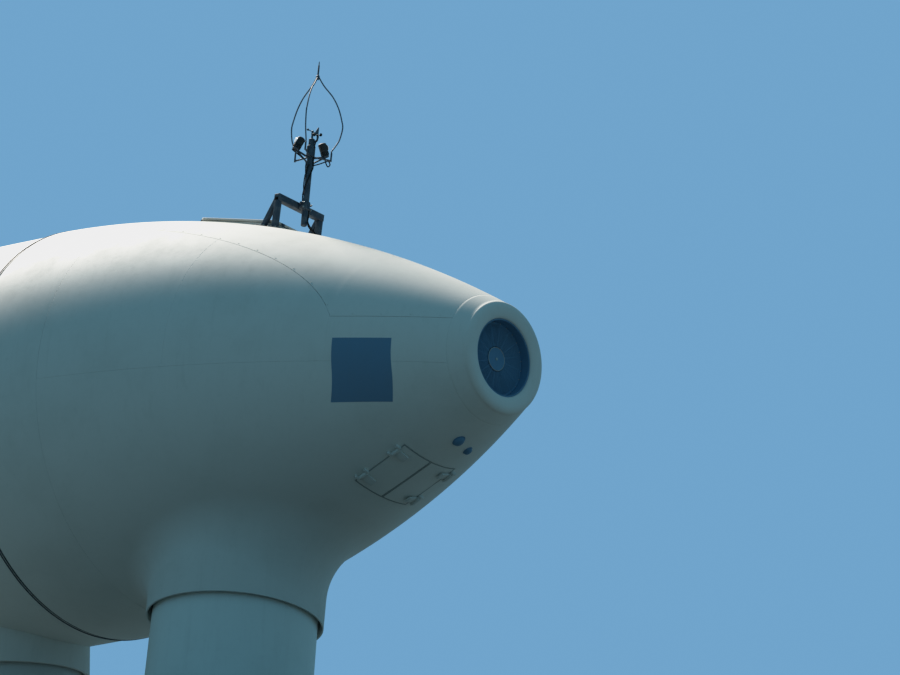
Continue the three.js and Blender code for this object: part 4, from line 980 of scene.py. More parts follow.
# %% Underside and collar fillet
COLLAR_BOTTOM, COLLAR_RADIUS, COLLAR_WALL = 2.0, 1.13, 0.02
FILLET_FRONT, FILLET_REAR = 0.3, 1.0
SEARCH_ANGLES = np.radians(np.arange(40, 111, 0.5))
SETTLING_ROUNDS = 12


def underside(x, y):
    """Height of the egg's underside over plan points, as arrays."""
    z = np.full_like(x, -EGG_RADIUS)
    for _ in range(SETTLING_ROUNDS):
        s = (x - z * math.sin(TILT)) / math.cos(TILT)
        z = -np.sqrt(np.maximum(0, egg_radius(s) ** 2 - y ** 2))
    return AXIS_HEIGHT - s * math.sin(TILT) + z * math.cos(TILT)


def collar_fillet(azimuth):
    """Radius of the fillet, height of its centre and the angle at which it ends."""
    fillet = FILLET_FRONT + (FILLET_REAR - FILLET_FRONT) * (1 + math.cos(azimuth)) / 2
    reach = COLLAR_RADIUS + fillet - fillet * np.cos(SEARCH_ANGLES)
    clear = underside(reach * math.cos(azimuth), reach * math.sin(azimuth)) - fillet * np.sin(SEARCH_ANGLES)
    touch = int(np.argmin(clear))
    return fillet, float(clear[touch]), float(SEARCH_ANGLES[touch])


fillets = [collar_fillet(math.radians(angle)) for angle in (0, 90, 180)]
print("fillet centre heights at tail, side and rotor", [round(height, 3) for _, height, _ in fillets])

# %% [markdown]
# Every azimuth round the tower gives one line of points. The outer ends of the lines lie on
# the seam of the belly, and four of them run exactly to its corners. Between the fillet and
# the seam, a line is straight in the egg's own measures, so that its points stay on the egg.

# %% Seam round the belly
TO_EGG = BUILD_TO_TOWER.inverted()
END_COLUMNS = {TAIL_SEAM - SEAM: 36, RING_SEAM + SEAM: 84}
SIDE_COLUMNS = 64
FARTHEST, HALVINGS = 6.0, 40


def belly_limits(s):
    """Angle from the bottom at which the belly ends."""
    return math.pi - belly_edge(s)


def seam_point(azimuth):
    """Where the line at an azimuth reaches the belly's seam: s and angle from the bottom."""
    low, high = RING_SEAM + SEAM, TAIL_SEAM - SEAM
    across = abs(math.sin(azimuth))

    def inside(distance):
        s = distance * math.cos(azimuth)
        if not low <= s <= high:
            return False
        return distance * across <= egg_radius(s) * math.sin(belly_limits(s))

    near, far = 0.0, FARTHEST
    for _ in range(HALVINGS):
        middle = (near + far) / 2
        near, far = (middle, far) if inside(middle) else (near, middle)
    s = min(high, max(low, near * math.cos(azimuth)))
    angle = math.asin(min(1.0, near * across / egg_radius(s)))
    return s, math.copysign(min(angle, belly_limits(s) - SEAM / egg_radius(s)), math.sin(azimuth))


def corner_azimuth(s):
    return math.atan2(egg_radius(s) * math.sin(belly_limits(s)), s)


def round_tower():
    """Azimuths round the tower: even steps along the belly's two ends, and even turns between."""
    azimuths = []
    for end, count in END_COLUMNS.items():
        corner = math.copysign(belly_limits(end), -end)
        angles = [corner * (1 - 2 * k / count) for k in range(count)]
        azimuths += [math.atan2(egg_radius(end) * math.sin(angle), end) % math.tau for angle in angles]
    rear, front = [corner_azimuth(end) for end in END_COLUMNS]
    for low, high in ((rear, front), (math.tau - front, math.tau - rear)):
        azimuths += [low + (high - low) * k / SIDE_COLUMNS for k in range(SIDE_COLUMNS)]
    return sorted(azimuths)


print("columns round the tower", len(round_tower()))

# %% [markdown]
# Each line of the belly has four stretches: the collar's short upright wall, the fillet's arc,
# the run over the egg, and two close points at the seam that round its edge. The wall grows
# thicker along the arc, from the collar's to the cover's.

# %% Belly with collar
ARC_ROWS, BELLY_ROWS, COLLAR_ROWS = 16, 30, 3
COLLAR_CHAMFER, LEAST_RISE = 0.004, 0.002


def belly_line(azimuth):
    """Outer and inner points of the belly at one azimuth, from the collar's edge to the seam."""
    fillet, height, end = collar_fillet(azimuth)
    outward = Vector((math.cos(azimuth), math.sin(azimuth), 0))
    outer, inner = [], []
    walls = [COLLAR_BOTTOM + COLLAR_CHAMFER * k * k for k in range(COLLAR_ROWS)]
    for z in walls:
        inset = COLLAR_CHAMFER if z == COLLAR_BOTTOM else 0
        outer.append(outward * (COLLAR_RADIUS - inset) + z * UP)
        inner.append(outward * (COLLAR_RADIUS - COLLAR_WALL) + z * UP)
    for k in range(ARC_ROWS + 1):
        share = k / ARC_ROWS
        thick = COLLAR_WALL + (WALL - COLLAR_WALL) * share
        for points, radius in ((outer, fillet), (inner, fillet + thick)):
            reach = COLLAR_RADIUS + fillet - radius * math.cos(end * share)
            rise = max(height + radius * math.sin(end * share), walls[-1] + LEAST_RISE * (k + 1))
            points.append(outward * reach + rise * UP)
    touch = TO_EGG @ outer[-1]
    start_s, start_angle = touch.x, math.atan2(touch.y, -touch.z)
    end_s, end_angle = seam_point(azimuth)
    run = math.hypot(end_s - start_s, (end_angle - start_angle) * egg_radius(end_s))
    shares = [k / BELLY_ROWS for k in range(1, BELLY_ROWS)] + [1 - n * EDGE_ROUND / run for n in (4, 2, 0)]
    for share in shares:
        s = start_s + (end_s - start_s) * share
        angle = start_angle + (end_angle - start_angle) * share
        lift = egg_radius(s) - (EDGE_ROUND if share == 1 else 0)
        for points, radius in ((outer, lift), (inner, egg_radius(s) - WALL)):
            points.append(in_tower((s, radius * math.sin(angle), -radius * math.cos(angle))))
    return outer, inner


def ring_wall(name, outer, inner):
    """A wall between two grids of points whose columns close into a ring."""
    rows, columns = len(outer), len(outer[0])
    count = rows * columns
    faces = grid_faces(rows, columns, closed=True)
    faces += grid_faces(rows, columns, start=count, closed=True, flip=True)
    for row in (0, (rows - 1) * columns):
        faces += band(row, row + count, columns)
    return mesh_of(name, flat(outer) + flat(inner), faces)


lines = [belly_line(azimuth) for azimuth in round_tower()]
belly = ring_wall("belly_laminate", list(zip(*[outer for outer, _ in lines])),
                  list(zip(*[inner for _, inner in lines])))
print("belly", len(belly.polygons), "faces")

# %% [markdown]
# The floor opening behind the tower is closed by two leaves that hang from hinges along
# their outer edges. The opening is cut square to the hinge line, in a frame that leans with
# the belly. Each leaf is a wall on the egg, with a row of points about every five centimetres.

# %% Floor opening and leaves
FLOOR_START, FLOOR_END, FLOOR_HALF, FLOOR_GAP = 2.365, 3.16, 0.490, 0.006
FLOOR_CUT = 0.3
FLOOR_EDGE = [-math.sqrt(egg_radius(s) ** 2 - FLOOR_HALF ** 2) for s in (FLOOR_START, FLOOR_END)]
FLOOR_LENGTH = math.hypot(FLOOR_END - FLOOR_START, FLOOR_EDGE[1] - FLOOR_EDGE[0])
FLOOR_LEAN = math.atan2(FLOOR_EDGE[1] - FLOOR_EDGE[0], FLOOR_END - FLOOR_START)
FLOOR_FRAME = Matrix.Translation(((FLOOR_START + FLOOR_END) / 2, 0, sum(FLOOR_EDGE) / 2)) @ Matrix.Rotation(
    -FLOOR_LEAN, 4, "Y")


def on_floor(x, y, depth=0.0):
    """The point of the egg below a place of the floor frame, moved in by a depth."""
    lift = 0.0
    for _ in range(SETTLING_ROUNDS):
        point = FLOOR_FRAME @ Vector((x, y, lift))
        wanted = -math.sqrt((egg_radius(point.x) - depth) ** 2 - y ** 2)
        lift += (wanted - point.z) / math.cos(FLOOR_LEAN)
    return BUILD_TO_TOWER @ FLOOR_FRAME @ Vector((x, y, lift))


half_floor = FLOOR_LENGTH / 2
opening = box_mesh("opening", (-half_floor, -FLOOR_HALF, -FLOOR_CUT), (half_floor, FLOOR_HALF, FLOOR_CUT),
                   BUILD_TO_TOWER @ FLOOR_FRAME)
belly = cut(belly, opening)
finished(belly, "nacelle", GEL_COAT, "gelcoat", "belly_shell")

along = spread(-half_floor + FLOOR_GAP, half_floor - FLOOR_GAP, 0.06, 2 * EDGE_ROUND)
across = spread(FLOOR_GAP / 2, FLOOR_HALF - FLOOR_GAP, 0.05, 2 * EDGE_ROUND)
x_edges, y_edges = (along[0], along[-1]), (across[0], across[-1])
for word, side in SIDES:
    outer = [[on_floor(x, side * y, EDGE_ROUND / 2 * (x in x_edges or y in y_edges))
              for y in across] for x in along]
    inner = [[on_floor(x, side * y, WALL) for y in across] for x in along]
    finished(wall_mesh(f"floor_leaf_{word}_skin", outer, inner), f"leaf_{word}", GEL_COAT, "gelcoat")
print("floor opening", round(FLOOR_LENGTH, 3), "m long, leaning", round(math.degrees(FLOOR_LEAN), 1),
      "degrees")

# %% [markdown]
# The hinges stand on the belly beside the leaves: two ears and a pin that stay, and a strap
# with a barrel that swings with the leaf. Each is a bevelled block, as of cut steel plate.

# %% Floor hinges
HINGE_STAND_OFF, PIN_RADIUS, BARREL_RADIUS, HINGE_BEVEL = 0.032, 0.0105, 0.024, 0.003
HINGE_SHARES = (-0.32, 0.32)
EAR_NEAR, EAR_FAR, PIN_REACH = 0.062, 0.092, 0.097
EAR_SIDE, EAR_DEPTH, EAR_HEIGHT = (-0.060, 0.014), 0.024, 0.014
STRAP_HALF, STRAP_SIDE, STRAP_DEPTH, STRAP_TOP, BARREL_REACH = 0.050, (0.004, 0.19), 0.004, -0.010, 0.056


def hinge_frame(side):
    """Along the hinge, towards the leaf and out of the skin; and the sign of the leaf's side."""
    y = side * FLOOR_HALF
    start, end = (Vector((s, y, z)) for s, z in zip((FLOOR_START, FLOOR_END), FLOOR_EDGE))
    along = (end - start).normalized()
    middle = (start + end) / 2
    out = Vector((0, y, middle.z)).normalized()
    out = (out - along * out.dot(along)).normalized()
    across = out.cross(along)
    bulge = egg_radius(middle.x) - math.hypot(y, middle.z)
    place = middle + out * (HINGE_STAND_OFF + bulge)
    basis = Matrix((along, across, out)).transposed().to_4x4()
    return BUILD_TO_TOWER @ Matrix.Translation(place) @ basis, math.copysign(1, -side * across.y)


def hinge_plate(frame_here, inward, ends, reach, heights):
    """A block of a hinge: its ends along the pin, its reach towards the leaf, its heights."""
    low, high = sorted(inward * value for value in reach)
    return box_mesh("plate", (ends[0], low, heights[0]), (ends[1], high, heights[1]), frame_here)


for word, side in SIDES:
    place = hinge_frame(side)
    fixed, moving = [], []
    for x in (share * FLOOR_LENGTH for share in HINGE_SHARES):
        for ends in ((x - EAR_FAR, x - EAR_NEAR), (x + EAR_NEAR, x + EAR_FAR)):
            fixed.append(hinge_plate(*place, ends, EAR_SIDE, (-HINGE_STAND_OFF - EAR_DEPTH, EAR_HEIGHT)))
        fixed.append(tube_mesh("pin", x - PIN_REACH, x + PIN_REACH, PIN_RADIUS, place[0], 20))
        moving.append(hinge_plate(*place, (x - STRAP_HALF, x + STRAP_HALF), STRAP_SIDE,
                                  (-HINGE_STAND_OFF - STRAP_DEPTH, STRAP_TOP)))
        moving.append(tube_mesh("barrel", x - BARREL_REACH, x + BARREL_REACH, BARREL_RADIUS, place[0], 28))
    ears = joined(f"floor_ears_{word}", fixed, HINGE_BEVEL)
    straps = joined(f"floor_straps_{word}", moving, HINGE_BEVEL)
    finished(ears, "nacelle", HINGE_PAINT, "gelcoat", "belly_shell")
    finished(straps, f"leaf_{word}", HINGE_PAINT, "gelcoat", f"floor_hatch_{word}")
print("floor hinges", 2 * len(HINGE_SHARES))

# %% [markdown]
# The tail is a ring with a rounded lip round the air outlet. A profile of a few points and
# two quarter curves is spun about the axis, which gives the outside, the lip and the inside
# of the ring in one closed wall.

# %% Tail ring and fan duct
TAIL_END, TAIL_LIP_RADIUS, TAIL_LIP_START, THROAT_DEPTH = 4.265, 0.63, 4.20, 0.129
DUCT_FRONT, DUCT_REAR, DUCT_OUTER, FAN_MOUTH = 3.6, 4.22, 0.4994, 0.48
DUCT_SEAT, DUCT_CLEARANCE, LIP_STEPS = 0.0016, 0.0005, 12

lip_rise = egg_radius(TAIL_LIP_START) - TAIL_LIP_RADIUS
tail_start = TAIL_SEAM + SEAM
outside = [(tail_start, egg_radius(tail_start) - EDGE_ROUND)]
stations = [tail_start + 2 * EDGE_ROUND] + spread(tail_start, TAIL_LIP_START, 0.03)[1:]
outside += [(s, egg_radius(s)) for s in stations]
quarter = [math.pi / 2 * k / LIP_STEPS for k in range(1, LIP_STEPS + 1)]
lip = [(TAIL_LIP_START + (TAIL_END - TAIL_LIP_START) * math.sin(a), TAIL_LIP_RADIUS + lip_rise * math.cos(a))
       for a in quarter]
throat = [(DUCT_REAR + (TAIL_END - DUCT_REAR) * math.cos(a), TAIL_LIP_RADIUS - THROAT_DEPTH * math.sin(a))
          for a in quarter]
tail_ring = revolved("tail_ring_laminate", outside + lip + throat + [(tail_start, DUCT_OUTER + DUCT_SEAT)])
finished(tail_ring, "nacelle", GEL_COAT, "gelcoat", "tail_ring")
bore = FAN_MOUTH + DUCT_CLEARANCE
duct = revolved("fan_duct_sleeve", [
    (DUCT_FRONT, DUCT_OUTER), (DUCT_REAR - 0.003, DUCT_OUTER), (DUCT_REAR, DUCT_OUTER - 0.003),
    (DUCT_REAR, FAN_MOUTH + 0.004), (DUCT_REAR - 0.004, bore), (DUCT_FRONT, bore)], 128)
finished(duct, "nacelle", DARK_PAINT, "dark_paint", "fan_duct")
print("tail ring", len(tail_ring.polygons), "faces")

# %% [markdown]
# Several pieces sit on the curved skin: seals, the hatch kerb, feet and cowls. They need the
# point of the roof below a place, a frame that stands square to the skin, and a mesh through
# a stack of closed loops. Many of the loops are rectangles with round corners.

# %% Loops and frames on the skin
HATCH_SLOPE = math.atan(2 * EGG_RADIUS * (HATCH_CENTRE - EGG_WIDEST) / EGG_LENGTH ** 2)
HATCH_PLACE = Matrix.Translation((HATCH_CENTRE, 0, egg_radius(HATCH_CENTRE)))
HATCH_FRAME = HATCH_PLACE @ Matrix.Rotation(HATCH_SLOPE, 4, "Y")
HATCH_TO_TOWER = BUILD_TO_TOWER @ HATCH_FRAME
LONG_STEPS, SHORT_STEPS, CORNER_STEPS = 17, 9, 6


def rounded_rectangle(x_low, x_high, y_half, radius):
    """Points of a rectangle with round corners, always as many, so that loops can be joined."""
    corners = []
    for x, y, start in ((x_high, y_half, 0), (x_low, y_half, 90), (x_low, -y_half, 180),
                        (x_high, -y_half, 270)):
        centre = (x - math.copysign(radius, x), y - math.copysign(radius, y))
        turns = [math.radians(start + 90 * k / CORNER_STEPS) for k in range(CORNER_STEPS + 1)]
        corners.append([(centre[0] + radius * math.cos(a), centre[1] + radius * math.sin(a))
                        for a in turns])
    points = []
    for here, there, count in zip(corners, corners[1:] + corners[:1], (LONG_STEPS, SHORT_STEPS) * 2):
        points += here
        (x0, y0), (x1, y1) = here[-1], there[0]
        points += [(x0 + (x1 - x0) * k / count, y0 + (y1 - y0) * k / count) for k in range(1, count)]
    return points


def hoop(name, loops, closed=True):
    """A mesh through closed loops of points; without closing, its two ends are capped."""
    columns = len(loops[0])
    last = (len(loops) - 1) * columns
    ends = band(last, 0, columns) if closed else [tuple(range(columns)), tuple(range(last, last + columns))]
    return mesh_of(name, flat(loops), grid_faces(len(loops), columns, closed=True) + ends)


def on_roof(x, y, lift):
    """The point of the roof under a place of the hatch frame, raised by a lift."""
    height = 0.0
    for _ in range(SETTLING_ROUNDS):
        point = HATCH_FRAME @ Vector((x, y, height))
        height += (math.sqrt(egg_radius(point.x) ** 2 - y ** 2) - point.z) / math.cos(HATCH_SLOPE)
    return HATCH_TO_TOWER @ Vector((x, y, height + lift))


def skin_frame(s, y, side=1):
    """A frame on the cover's top (1) or underside (-1): x along it, z out of it."""
    radius = egg_radius(s)
    z = side * math.sqrt(radius ** 2 - y ** 2)
    slope = -2 * EGG_RADIUS * (s - EGG_WIDEST) / EGG_LENGTH ** 2
    out = Vector((-slope, y / radius, z / radius)).normalized()
    along = (Vector((1, 0, 0)) - out * out.x).normalized()
    basis = Matrix((along, out.cross(along), out)).transposed().to_4x4()
    return BUILD_TO_TOWER @ Matrix.Translation((s, y, z)) @ basis


print("roof hatch leans", round(math.degrees(HATCH_SLOPE), 1), "degrees to the rotor axis")

# %% [markdown]
# A strip of grey sealant runs round each floor leaf, just inside its edge. Its grey is painted
# shade: it darkens the leaf's outline where the gap holds a shadow. It is a low band: two loops
# of points on the skin, and two that stand a little proud.

# %% Floor leaf seals, painted gap shade
SEAL_WIDTH, SEAL_THICK, SEAL_STEPS = 0.014, 0.0022, 12

for word, side in SIDES:
    loops = []
    for inset, lift in ((0.0, 0.0), (0.0, SEAL_THICK), (SEAL_WIDTH, SEAL_THICK), (SEAL_WIDTH, 0.0)):
        (x0, x1), (y0, y1) = [(low + inset, high - inset) for low, high in (x_edges, y_edges)]
        corners = [(x0, y0), (x1, y0), (x1, y1), (x0, y1), (x0, y0)]
        loops.append([
            on_floor(x + (next_x - x) * k / SEAL_STEPS, side * (y + (next_y - y) * k / SEAL_STEPS), -lift)
            for (x, y), (next_x, next_y) in zip(corners, corners[1:]) for k in range(SEAL_STEPS)])
    # Each strip's grey is painted shade along the leaf's gap.
    finished(hoop(f"floor_shade_seal_{word}", loops), f"leaf_{word}", GAP_SHADE_SEALANT, "dark_paint", f"floor_hatch_{word}")
print("seals", len(SIDES), "of width", SEAL_WIDTH)

# %% [markdown]
# The kerb of the roof hatch is a laminate frame with a flange that is bolted to the roof. A
# rubber seal lies on its rim, under the lid. Both are stacks of rounded rectangles, and the
# kerb's lowest ones lie on the egg, so its flange follows the roof.

# %% Roof hatch kerb
HATCH_REACH = HATCH_LENGTH / 2
RIM_TOP, RIM_ROUND, KERB_CORNER, KERB_SEAT = 0.035, 0.006, 0.060, 0.0006
KERB_FLANGE = [(-0.055, KERB_SEAT), (-0.055, 0.006), (-0.050, 0.008), (-0.008, 0.009), (0.0, 0.018)]
KERB_RIM = [(0.0, RIM_TOP - RIM_ROUND), (RIM_ROUND, RIM_TOP), (HATCH_RIM - RIM_ROUND, RIM_TOP),
            (HATCH_RIM, RIM_TOP - RIM_ROUND)]
RIM_SEAL = [(0.010, 0.0), (0.010, 0.003), (0.014, 0.0046), (0.034, 0.0046), (0.038, 0.003), (0.038, 0.0)]
BOLT_LINE, BOLT_SEAT, BOLT_STRIDE = -0.032, 0.0085, 3


def kerb_loop(inset):
    return rounded_rectangle(-HATCH_REACH + inset, HATCH_REACH - inset, HATCH_HALF - inset, KERB_CORNER)


def in_hatch(points, z):
    return [HATCH_TO_TOWER @ Vector((x, y, z)) for x, y in points]


def roof_loop(inset, lift):
    return [on_roof(x, y, lift) for x, y in kerb_loop(inset)]


kerb = hoop("roof_hatch_kerb", [roof_loop(*step) for step in KERB_FLANGE]
            + [in_hatch(kerb_loop(inset), z) for inset, z in KERB_RIM] + [roof_loop(HATCH_RIM, KERB_SEAT)])
finished(kerb, "nacelle", HATCH_LAMINATE, "hatch_laminate", "roof_hatch_frame")
seal = hoop("roof_hatch_seal", [in_hatch(kerb_loop(inset), RIM_TOP + rise) for inset, rise in RIM_SEAL])
finished(seal, "nacelle", RUBBER, "lamp_plastic", "roof_hatch_frame")

hatch_up = HATCH_TO_TOWER.to_3x3() @ UP
kerb_spots = [(on_roof(x, y, BOLT_SEAT), hatch_up) for x, y in kerb_loop(BOLT_LINE)[::BOLT_STRIDE]]
bolted("roof_hatch_bolts", kerb_spots, "nacelle", "roof_hatch_frame",
       Head_Radius=0.008, Head_Height=0.006, Washer_Radius=0.012, Washer_Height=0.002)
print("kerb bolts", len(kerb_spots))

# %% [markdown]
# The lid overhangs the kerb, and a raised panel stiffens it. It swings on two hinges at its
# rotor end: the kerb carries an ear and a pin, and the lid has a barrel on each side of the
# ear. The lid is slotted round the ears.

# %% Roof hatch lid and hinges
LID_PIN_X, LID_PIN_Z = -HATCH_REACH - 0.026, RIM_TOP + 0.008
LID_PIN_RADIUS, LID_BARREL, HATCH_BEVEL = 0.0118, 0.024, 0.002
HINGE_PLACES = (-0.21, 0.21)
EAR_HALF, SLOT_HALF, PIN_HALF, KNUCKLE = 0.018, 0.025, 0.070, (0.028, 0.068)
LID_OVERHANG, LID_REAR, LID_CORNER, LEAST_CORNER = 0.020, 0.005, 0.080, 0.020
LID_STACK = [(0.110, 0.052), (0.098, 0.052), (0.090, 0.040), (0.010, 0.040), (0.0, 0.043), (0.0, 0.060),
             (0.004, 0.066), (0.012, 0.069), (0.075, 0.071), (0.084, 0.077), (0.100, 0.079), (0.190, 0.081)]


def lid_loop(inset):
    x_low, x_high = -HATCH_REACH - LID_REAR + inset, HATCH_REACH + LID_OVERHANG - inset
    y_half = HATCH_HALF + LID_OVERHANG - inset
    return rounded_rectangle(x_low, x_high, y_half, max(LEAST_CORNER, LID_CORNER - inset))


def hatch_box(name, x_span, y_span, z_span):
    """A box in the hatch's frame, given by its extent along each axis."""
    return box_mesh(name, *zip(x_span, y_span, z_span), HATCH_TO_TOWER)


roof_lid = hoop("roof_hatch_cover", [in_hatch(lid_loop(inset), z) for inset, z in LID_STACK], closed=False)
slot_reach, slot_rise = (-HATCH_REACH - 0.08, -HATCH_REACH + 0.03), (0, 0.12)
ear_slots = [hatch_box("slot", slot_reach, (y - SLOT_HALF, y + SLOT_HALF), slot_rise) for y in HINGE_PLACES]
finished(cut(roof_lid, *ear_slots), "roof_lid", HATCH_LAMINATE, "hatch_laminate", "roof_hatch_lid")

lid_pin = Matrix.Translation((LID_PIN_X, 0, LID_PIN_Z))
hinge_line = HATCH_TO_TOWER @ lid_pin @ Matrix.Rotation(math.pi / 2, 4, "Z")
ear_reach, arm_reach = (LID_PIN_X - 0.022, -HATCH_REACH + 0.018), (LID_PIN_X, -HATCH_REACH + 0.06)
latch_reach = (HATCH_REACH + 0.019, HATCH_REACH + 0.030)
lever_reach = (HATCH_REACH + 0.029, HATCH_REACH + 0.036)
ears, knuckles, latches = [], [], []
for y in HINGE_PLACES:
    ears.append(hatch_box("ear", ear_reach, (y - EAR_HALF, y + EAR_HALF), (0.004, 0.054)))
    ears.append(tube_mesh("pin", y - PIN_HALF, y + PIN_HALF, LID_PIN_RADIUS, hinge_line, 20))
    for low, high in ((y - KNUCKLE[1], y - KNUCKLE[0]), (y + KNUCKLE[0], y + KNUCKLE[1])):
        knuckles.append(tube_mesh("barrel", low, high, LID_BARREL, hinge_line, 28))
        knuckles.append(hatch_box("arm", arm_reach, (low, high), (LID_PIN_Z + 0.006, 0.0735)))
    latches.append(hatch_box("latch", latch_reach, (y - 0.030, y + 0.030), (0.036, 0.064)))
    latches.append(hatch_box("lever", lever_reach, (y - 0.008, y + 0.008), (0.020, 0.060)))
for name, parts, body, node in (("ears", ears, "nacelle", "roof_hatch_frame"),
                                ("knuckles", knuckles, "roof_lid", "roof_hatch_lid"),
                                ("latches", latches, "roof_lid", "roof_hatch_lid")):
    finished(joined(f"roof_hatch_{name}", parts, HATCH_BEVEL), body, DARK_ZINC, "galvanised", node)
print("hatch hinges", len(HINGE_PLACES))

# %% [markdown]
# A bracket of square tube stands over the roof on four feet. Each leg pair is an upright and
# a raking brace, and the beam across them carries the mast on its tail side. A foot is a
# bolted plate that lies square to the skin, so each has its own frame.

# %% Mast bracket
BRACKET_X, BEAM_Z, BEAM_REACH, BEAM_HALF, TUBE_BEVEL = 0.345, 2.65, 0.431, 0.045, 0.005
LEG_HALF, BRACE_HALF, BRACE_FOOT, LEG_SINK, BRACE_LEAN = 0.035, 0.030, 0.210, 0.004, 0.01
FOOT_HALF, FOOT_THICK, FOOT_TRIM, FOOT_SEAT = 0.075, 0.012, 0.025, 0.0006
FOOT_BOLT, BOLT_INSET = 0.058, 0.018
MAST_X, MAST_RADIUS = 0.455, 0.040
CLAMP_HALF, CLAMP_WALL, JAW_Z, JAW_HALF = 0.055, 0.018, 0.032, (0.088, 0.011)
JAW_FACE, JAW_BACK, JAW_BOLT, PAD_HALF = 0.006, 0.026, 0.074, 0.042
PLUMB = Matrix.Translation(in_tower((MAST_X, 0, BEAM_Z)) - BEAM_Z * UP)


def toward(start, end, matrix=PLUMB):
    """A frame whose first axis runs from one point to another, and the distance between them."""
    start, end = Vector(start), Vector(end)
    turn = (end - start).to_track_quat("X", "Z").to_matrix().to_4x4()
    return matrix @ Matrix.Translation(start) @ turn, (end - start).length


def square_tube(start, end, half):
    frame_here, length = toward(start, end, BUILD_TO_TOWER)
    return box_mesh("tube", (0, -half, -half), (length, half, half), frame_here)


def round_bar(start, end, radius, matrix=PLUMB, turns=20, chamfer=0.15):
    """A solid round bar with a small chamfer at each end."""
    frame_here, length = toward(start, end, matrix)
    trim = min(chamfer * radius, length / 3)
    return revolved("bar", [(0, 0), (0, radius - trim), (trim, radius), (length - trim, radius),
                            (length, radius - trim), (length, 0)], turns, frame_here)


tubes, feet, foot_spots = [], [], []
for _, side in SIDES:
    y = side * (BEAM_REACH - LEG_HALF)
    for foot_x, top_x, half in ((BRACKET_X, BRACKET_X, LEG_HALF),
                                (BRACKET_X - BRACE_FOOT, BRACKET_X - BRACE_LEAN, BRACE_HALF)):
        base = math.sqrt(egg_radius(foot_x) ** 2 - y ** 2)
        tubes.append(square_tube((foot_x, y, base - LEG_SINK), (top_x, y, BEAM_Z), half))
        plate_frame = skin_frame(foot_x, y)
        inner, outer = (FOOT_HALF - FOOT_TRIM, FOOT_HALF)[::side]
        foot_low, foot_high = (-FOOT_HALF, -inner, FOOT_SEAT), (FOOT_HALF, outer, FOOT_THICK)
        feet.append(box_mesh("foot", foot_low, foot_high, plate_frame))
        foot_spots += [(plate_frame @ Vector((x, bolt_y, FOOT_THICK)), plate_frame.to_3x3() @ UP)
                       for x in (-FOOT_BOLT, FOOT_BOLT)
                       for bolt_y in (BOLT_INSET - inner, outer - BOLT_INSET)]
tubes.append(square_tube((BRACKET_X, -BEAM_REACH, BEAM_Z), (BRACKET_X, BEAM_REACH, BEAM_Z), BEAM_HALF))
bracket = joined("bracket_tubes", tubes + feet, TUBE_BEVEL, 3)
finished(bracket, "nacelle", DARK_ZINC, "galvanised", "sensor_bracket")
bolted("bracket_foot_bolts", foot_spots, "nacelle", "sensor_bracket",
       Head_Radius=0.010, Head_Height=0.008, Washer_Radius=0.015)

clamp_parts = [
    round_bar((0, 0, BEAM_Z - CLAMP_HALF), (0, 0, BEAM_Z + CLAMP_HALF), MAST_RADIUS + CLAMP_WALL, turns=36,
              chamfer=0.08),
    box_mesh("pad", (BRACKET_X + BEAM_HALF - LEG_SINK, -CLAMP_HALF, BEAM_Z - PAD_HALF),
             (MAST_X, CLAMP_HALF, BEAM_Z + PAD_HALF))]
clamp_spots = []
for z in (BEAM_Z - JAW_Z, BEAM_Z + JAW_Z):
    for near, far in ((JAW_FACE, JAW_BACK), (-JAW_BACK, -JAW_FACE)):
        clamp_parts.append(box_mesh(
            "jaw", (near, -JAW_HALF[0], z - JAW_HALF[1]), (far, JAW_HALF[0], z + JAW_HALF[1]), PLUMB))
    clamp_spots += [(PLUMB @ Vector((JAW_BACK, y, z)), (1, 0, 0)) for y in (-JAW_BOLT, JAW_BOLT)]
finished(joined("mast_clamp", clamp_parts, HATCH_BEVEL), "nacelle", DARK_ZINC, "galvanised", "sensor_bracket")
bolted("mast_clamp_bolts", clamp_spots, "nacelle", "sensor_bracket",
       Head_Radius=0.009, Head_Height=0.012, Washer_Radius=0.013)
print("bracket feet", len(feet), "bolts", len(foot_spots) + len(clamp_spots))

# %% [markdown]
# The mast stands plumb although the roof leans, so it has its own upright frame. It carries
# arms for two lamps, three arms for the lightning cage and stems for the two wind sensors.

# %% Mast with its arms
MAST_FOOT, MAST_TOP = 2.38, 3.58
LAMP_SIDES = {"left": math.radians(248), "right": math.radians(68)}
LAMP_TILT, LAMP_OUT, LAMP_Z, LAMP_HALF, LAMP_RADIUS = math.radians(24), 0.175, 3.48, 0.085, 0.055
CAGE_BOTTOM, CAGE_TOP, CAGE_FOOT, CAGE_ARM_Z = 3.44, 4.44, 0.275, 3.335
CAGE_ANGLES = [math.radians(angle) for angle in (58, 178, 298)]
CUPS_X, CUPS_BASE, VANE_BASE, SEAT = 0.095, 3.5863, 3.6403, 0.0003


def around(radius, angle, z):
    """A point about the mast, in its upright frame."""
    return Vector((radius * math.cos(angle), radius * math.sin(angle), z))


def on_lamp(angle, along, outwards=0.0):
    """A point of a lamp: along its leaning axis from its middle, and outwards from that axis."""
    radius = LAMP_OUT - along * math.sin(LAMP_TILT) + outwards * math.cos(LAMP_TILT)
    return around(radius, angle, LAMP_Z + along * math.cos(LAMP_TILT) + outwards * math.sin(LAMP_TILT))


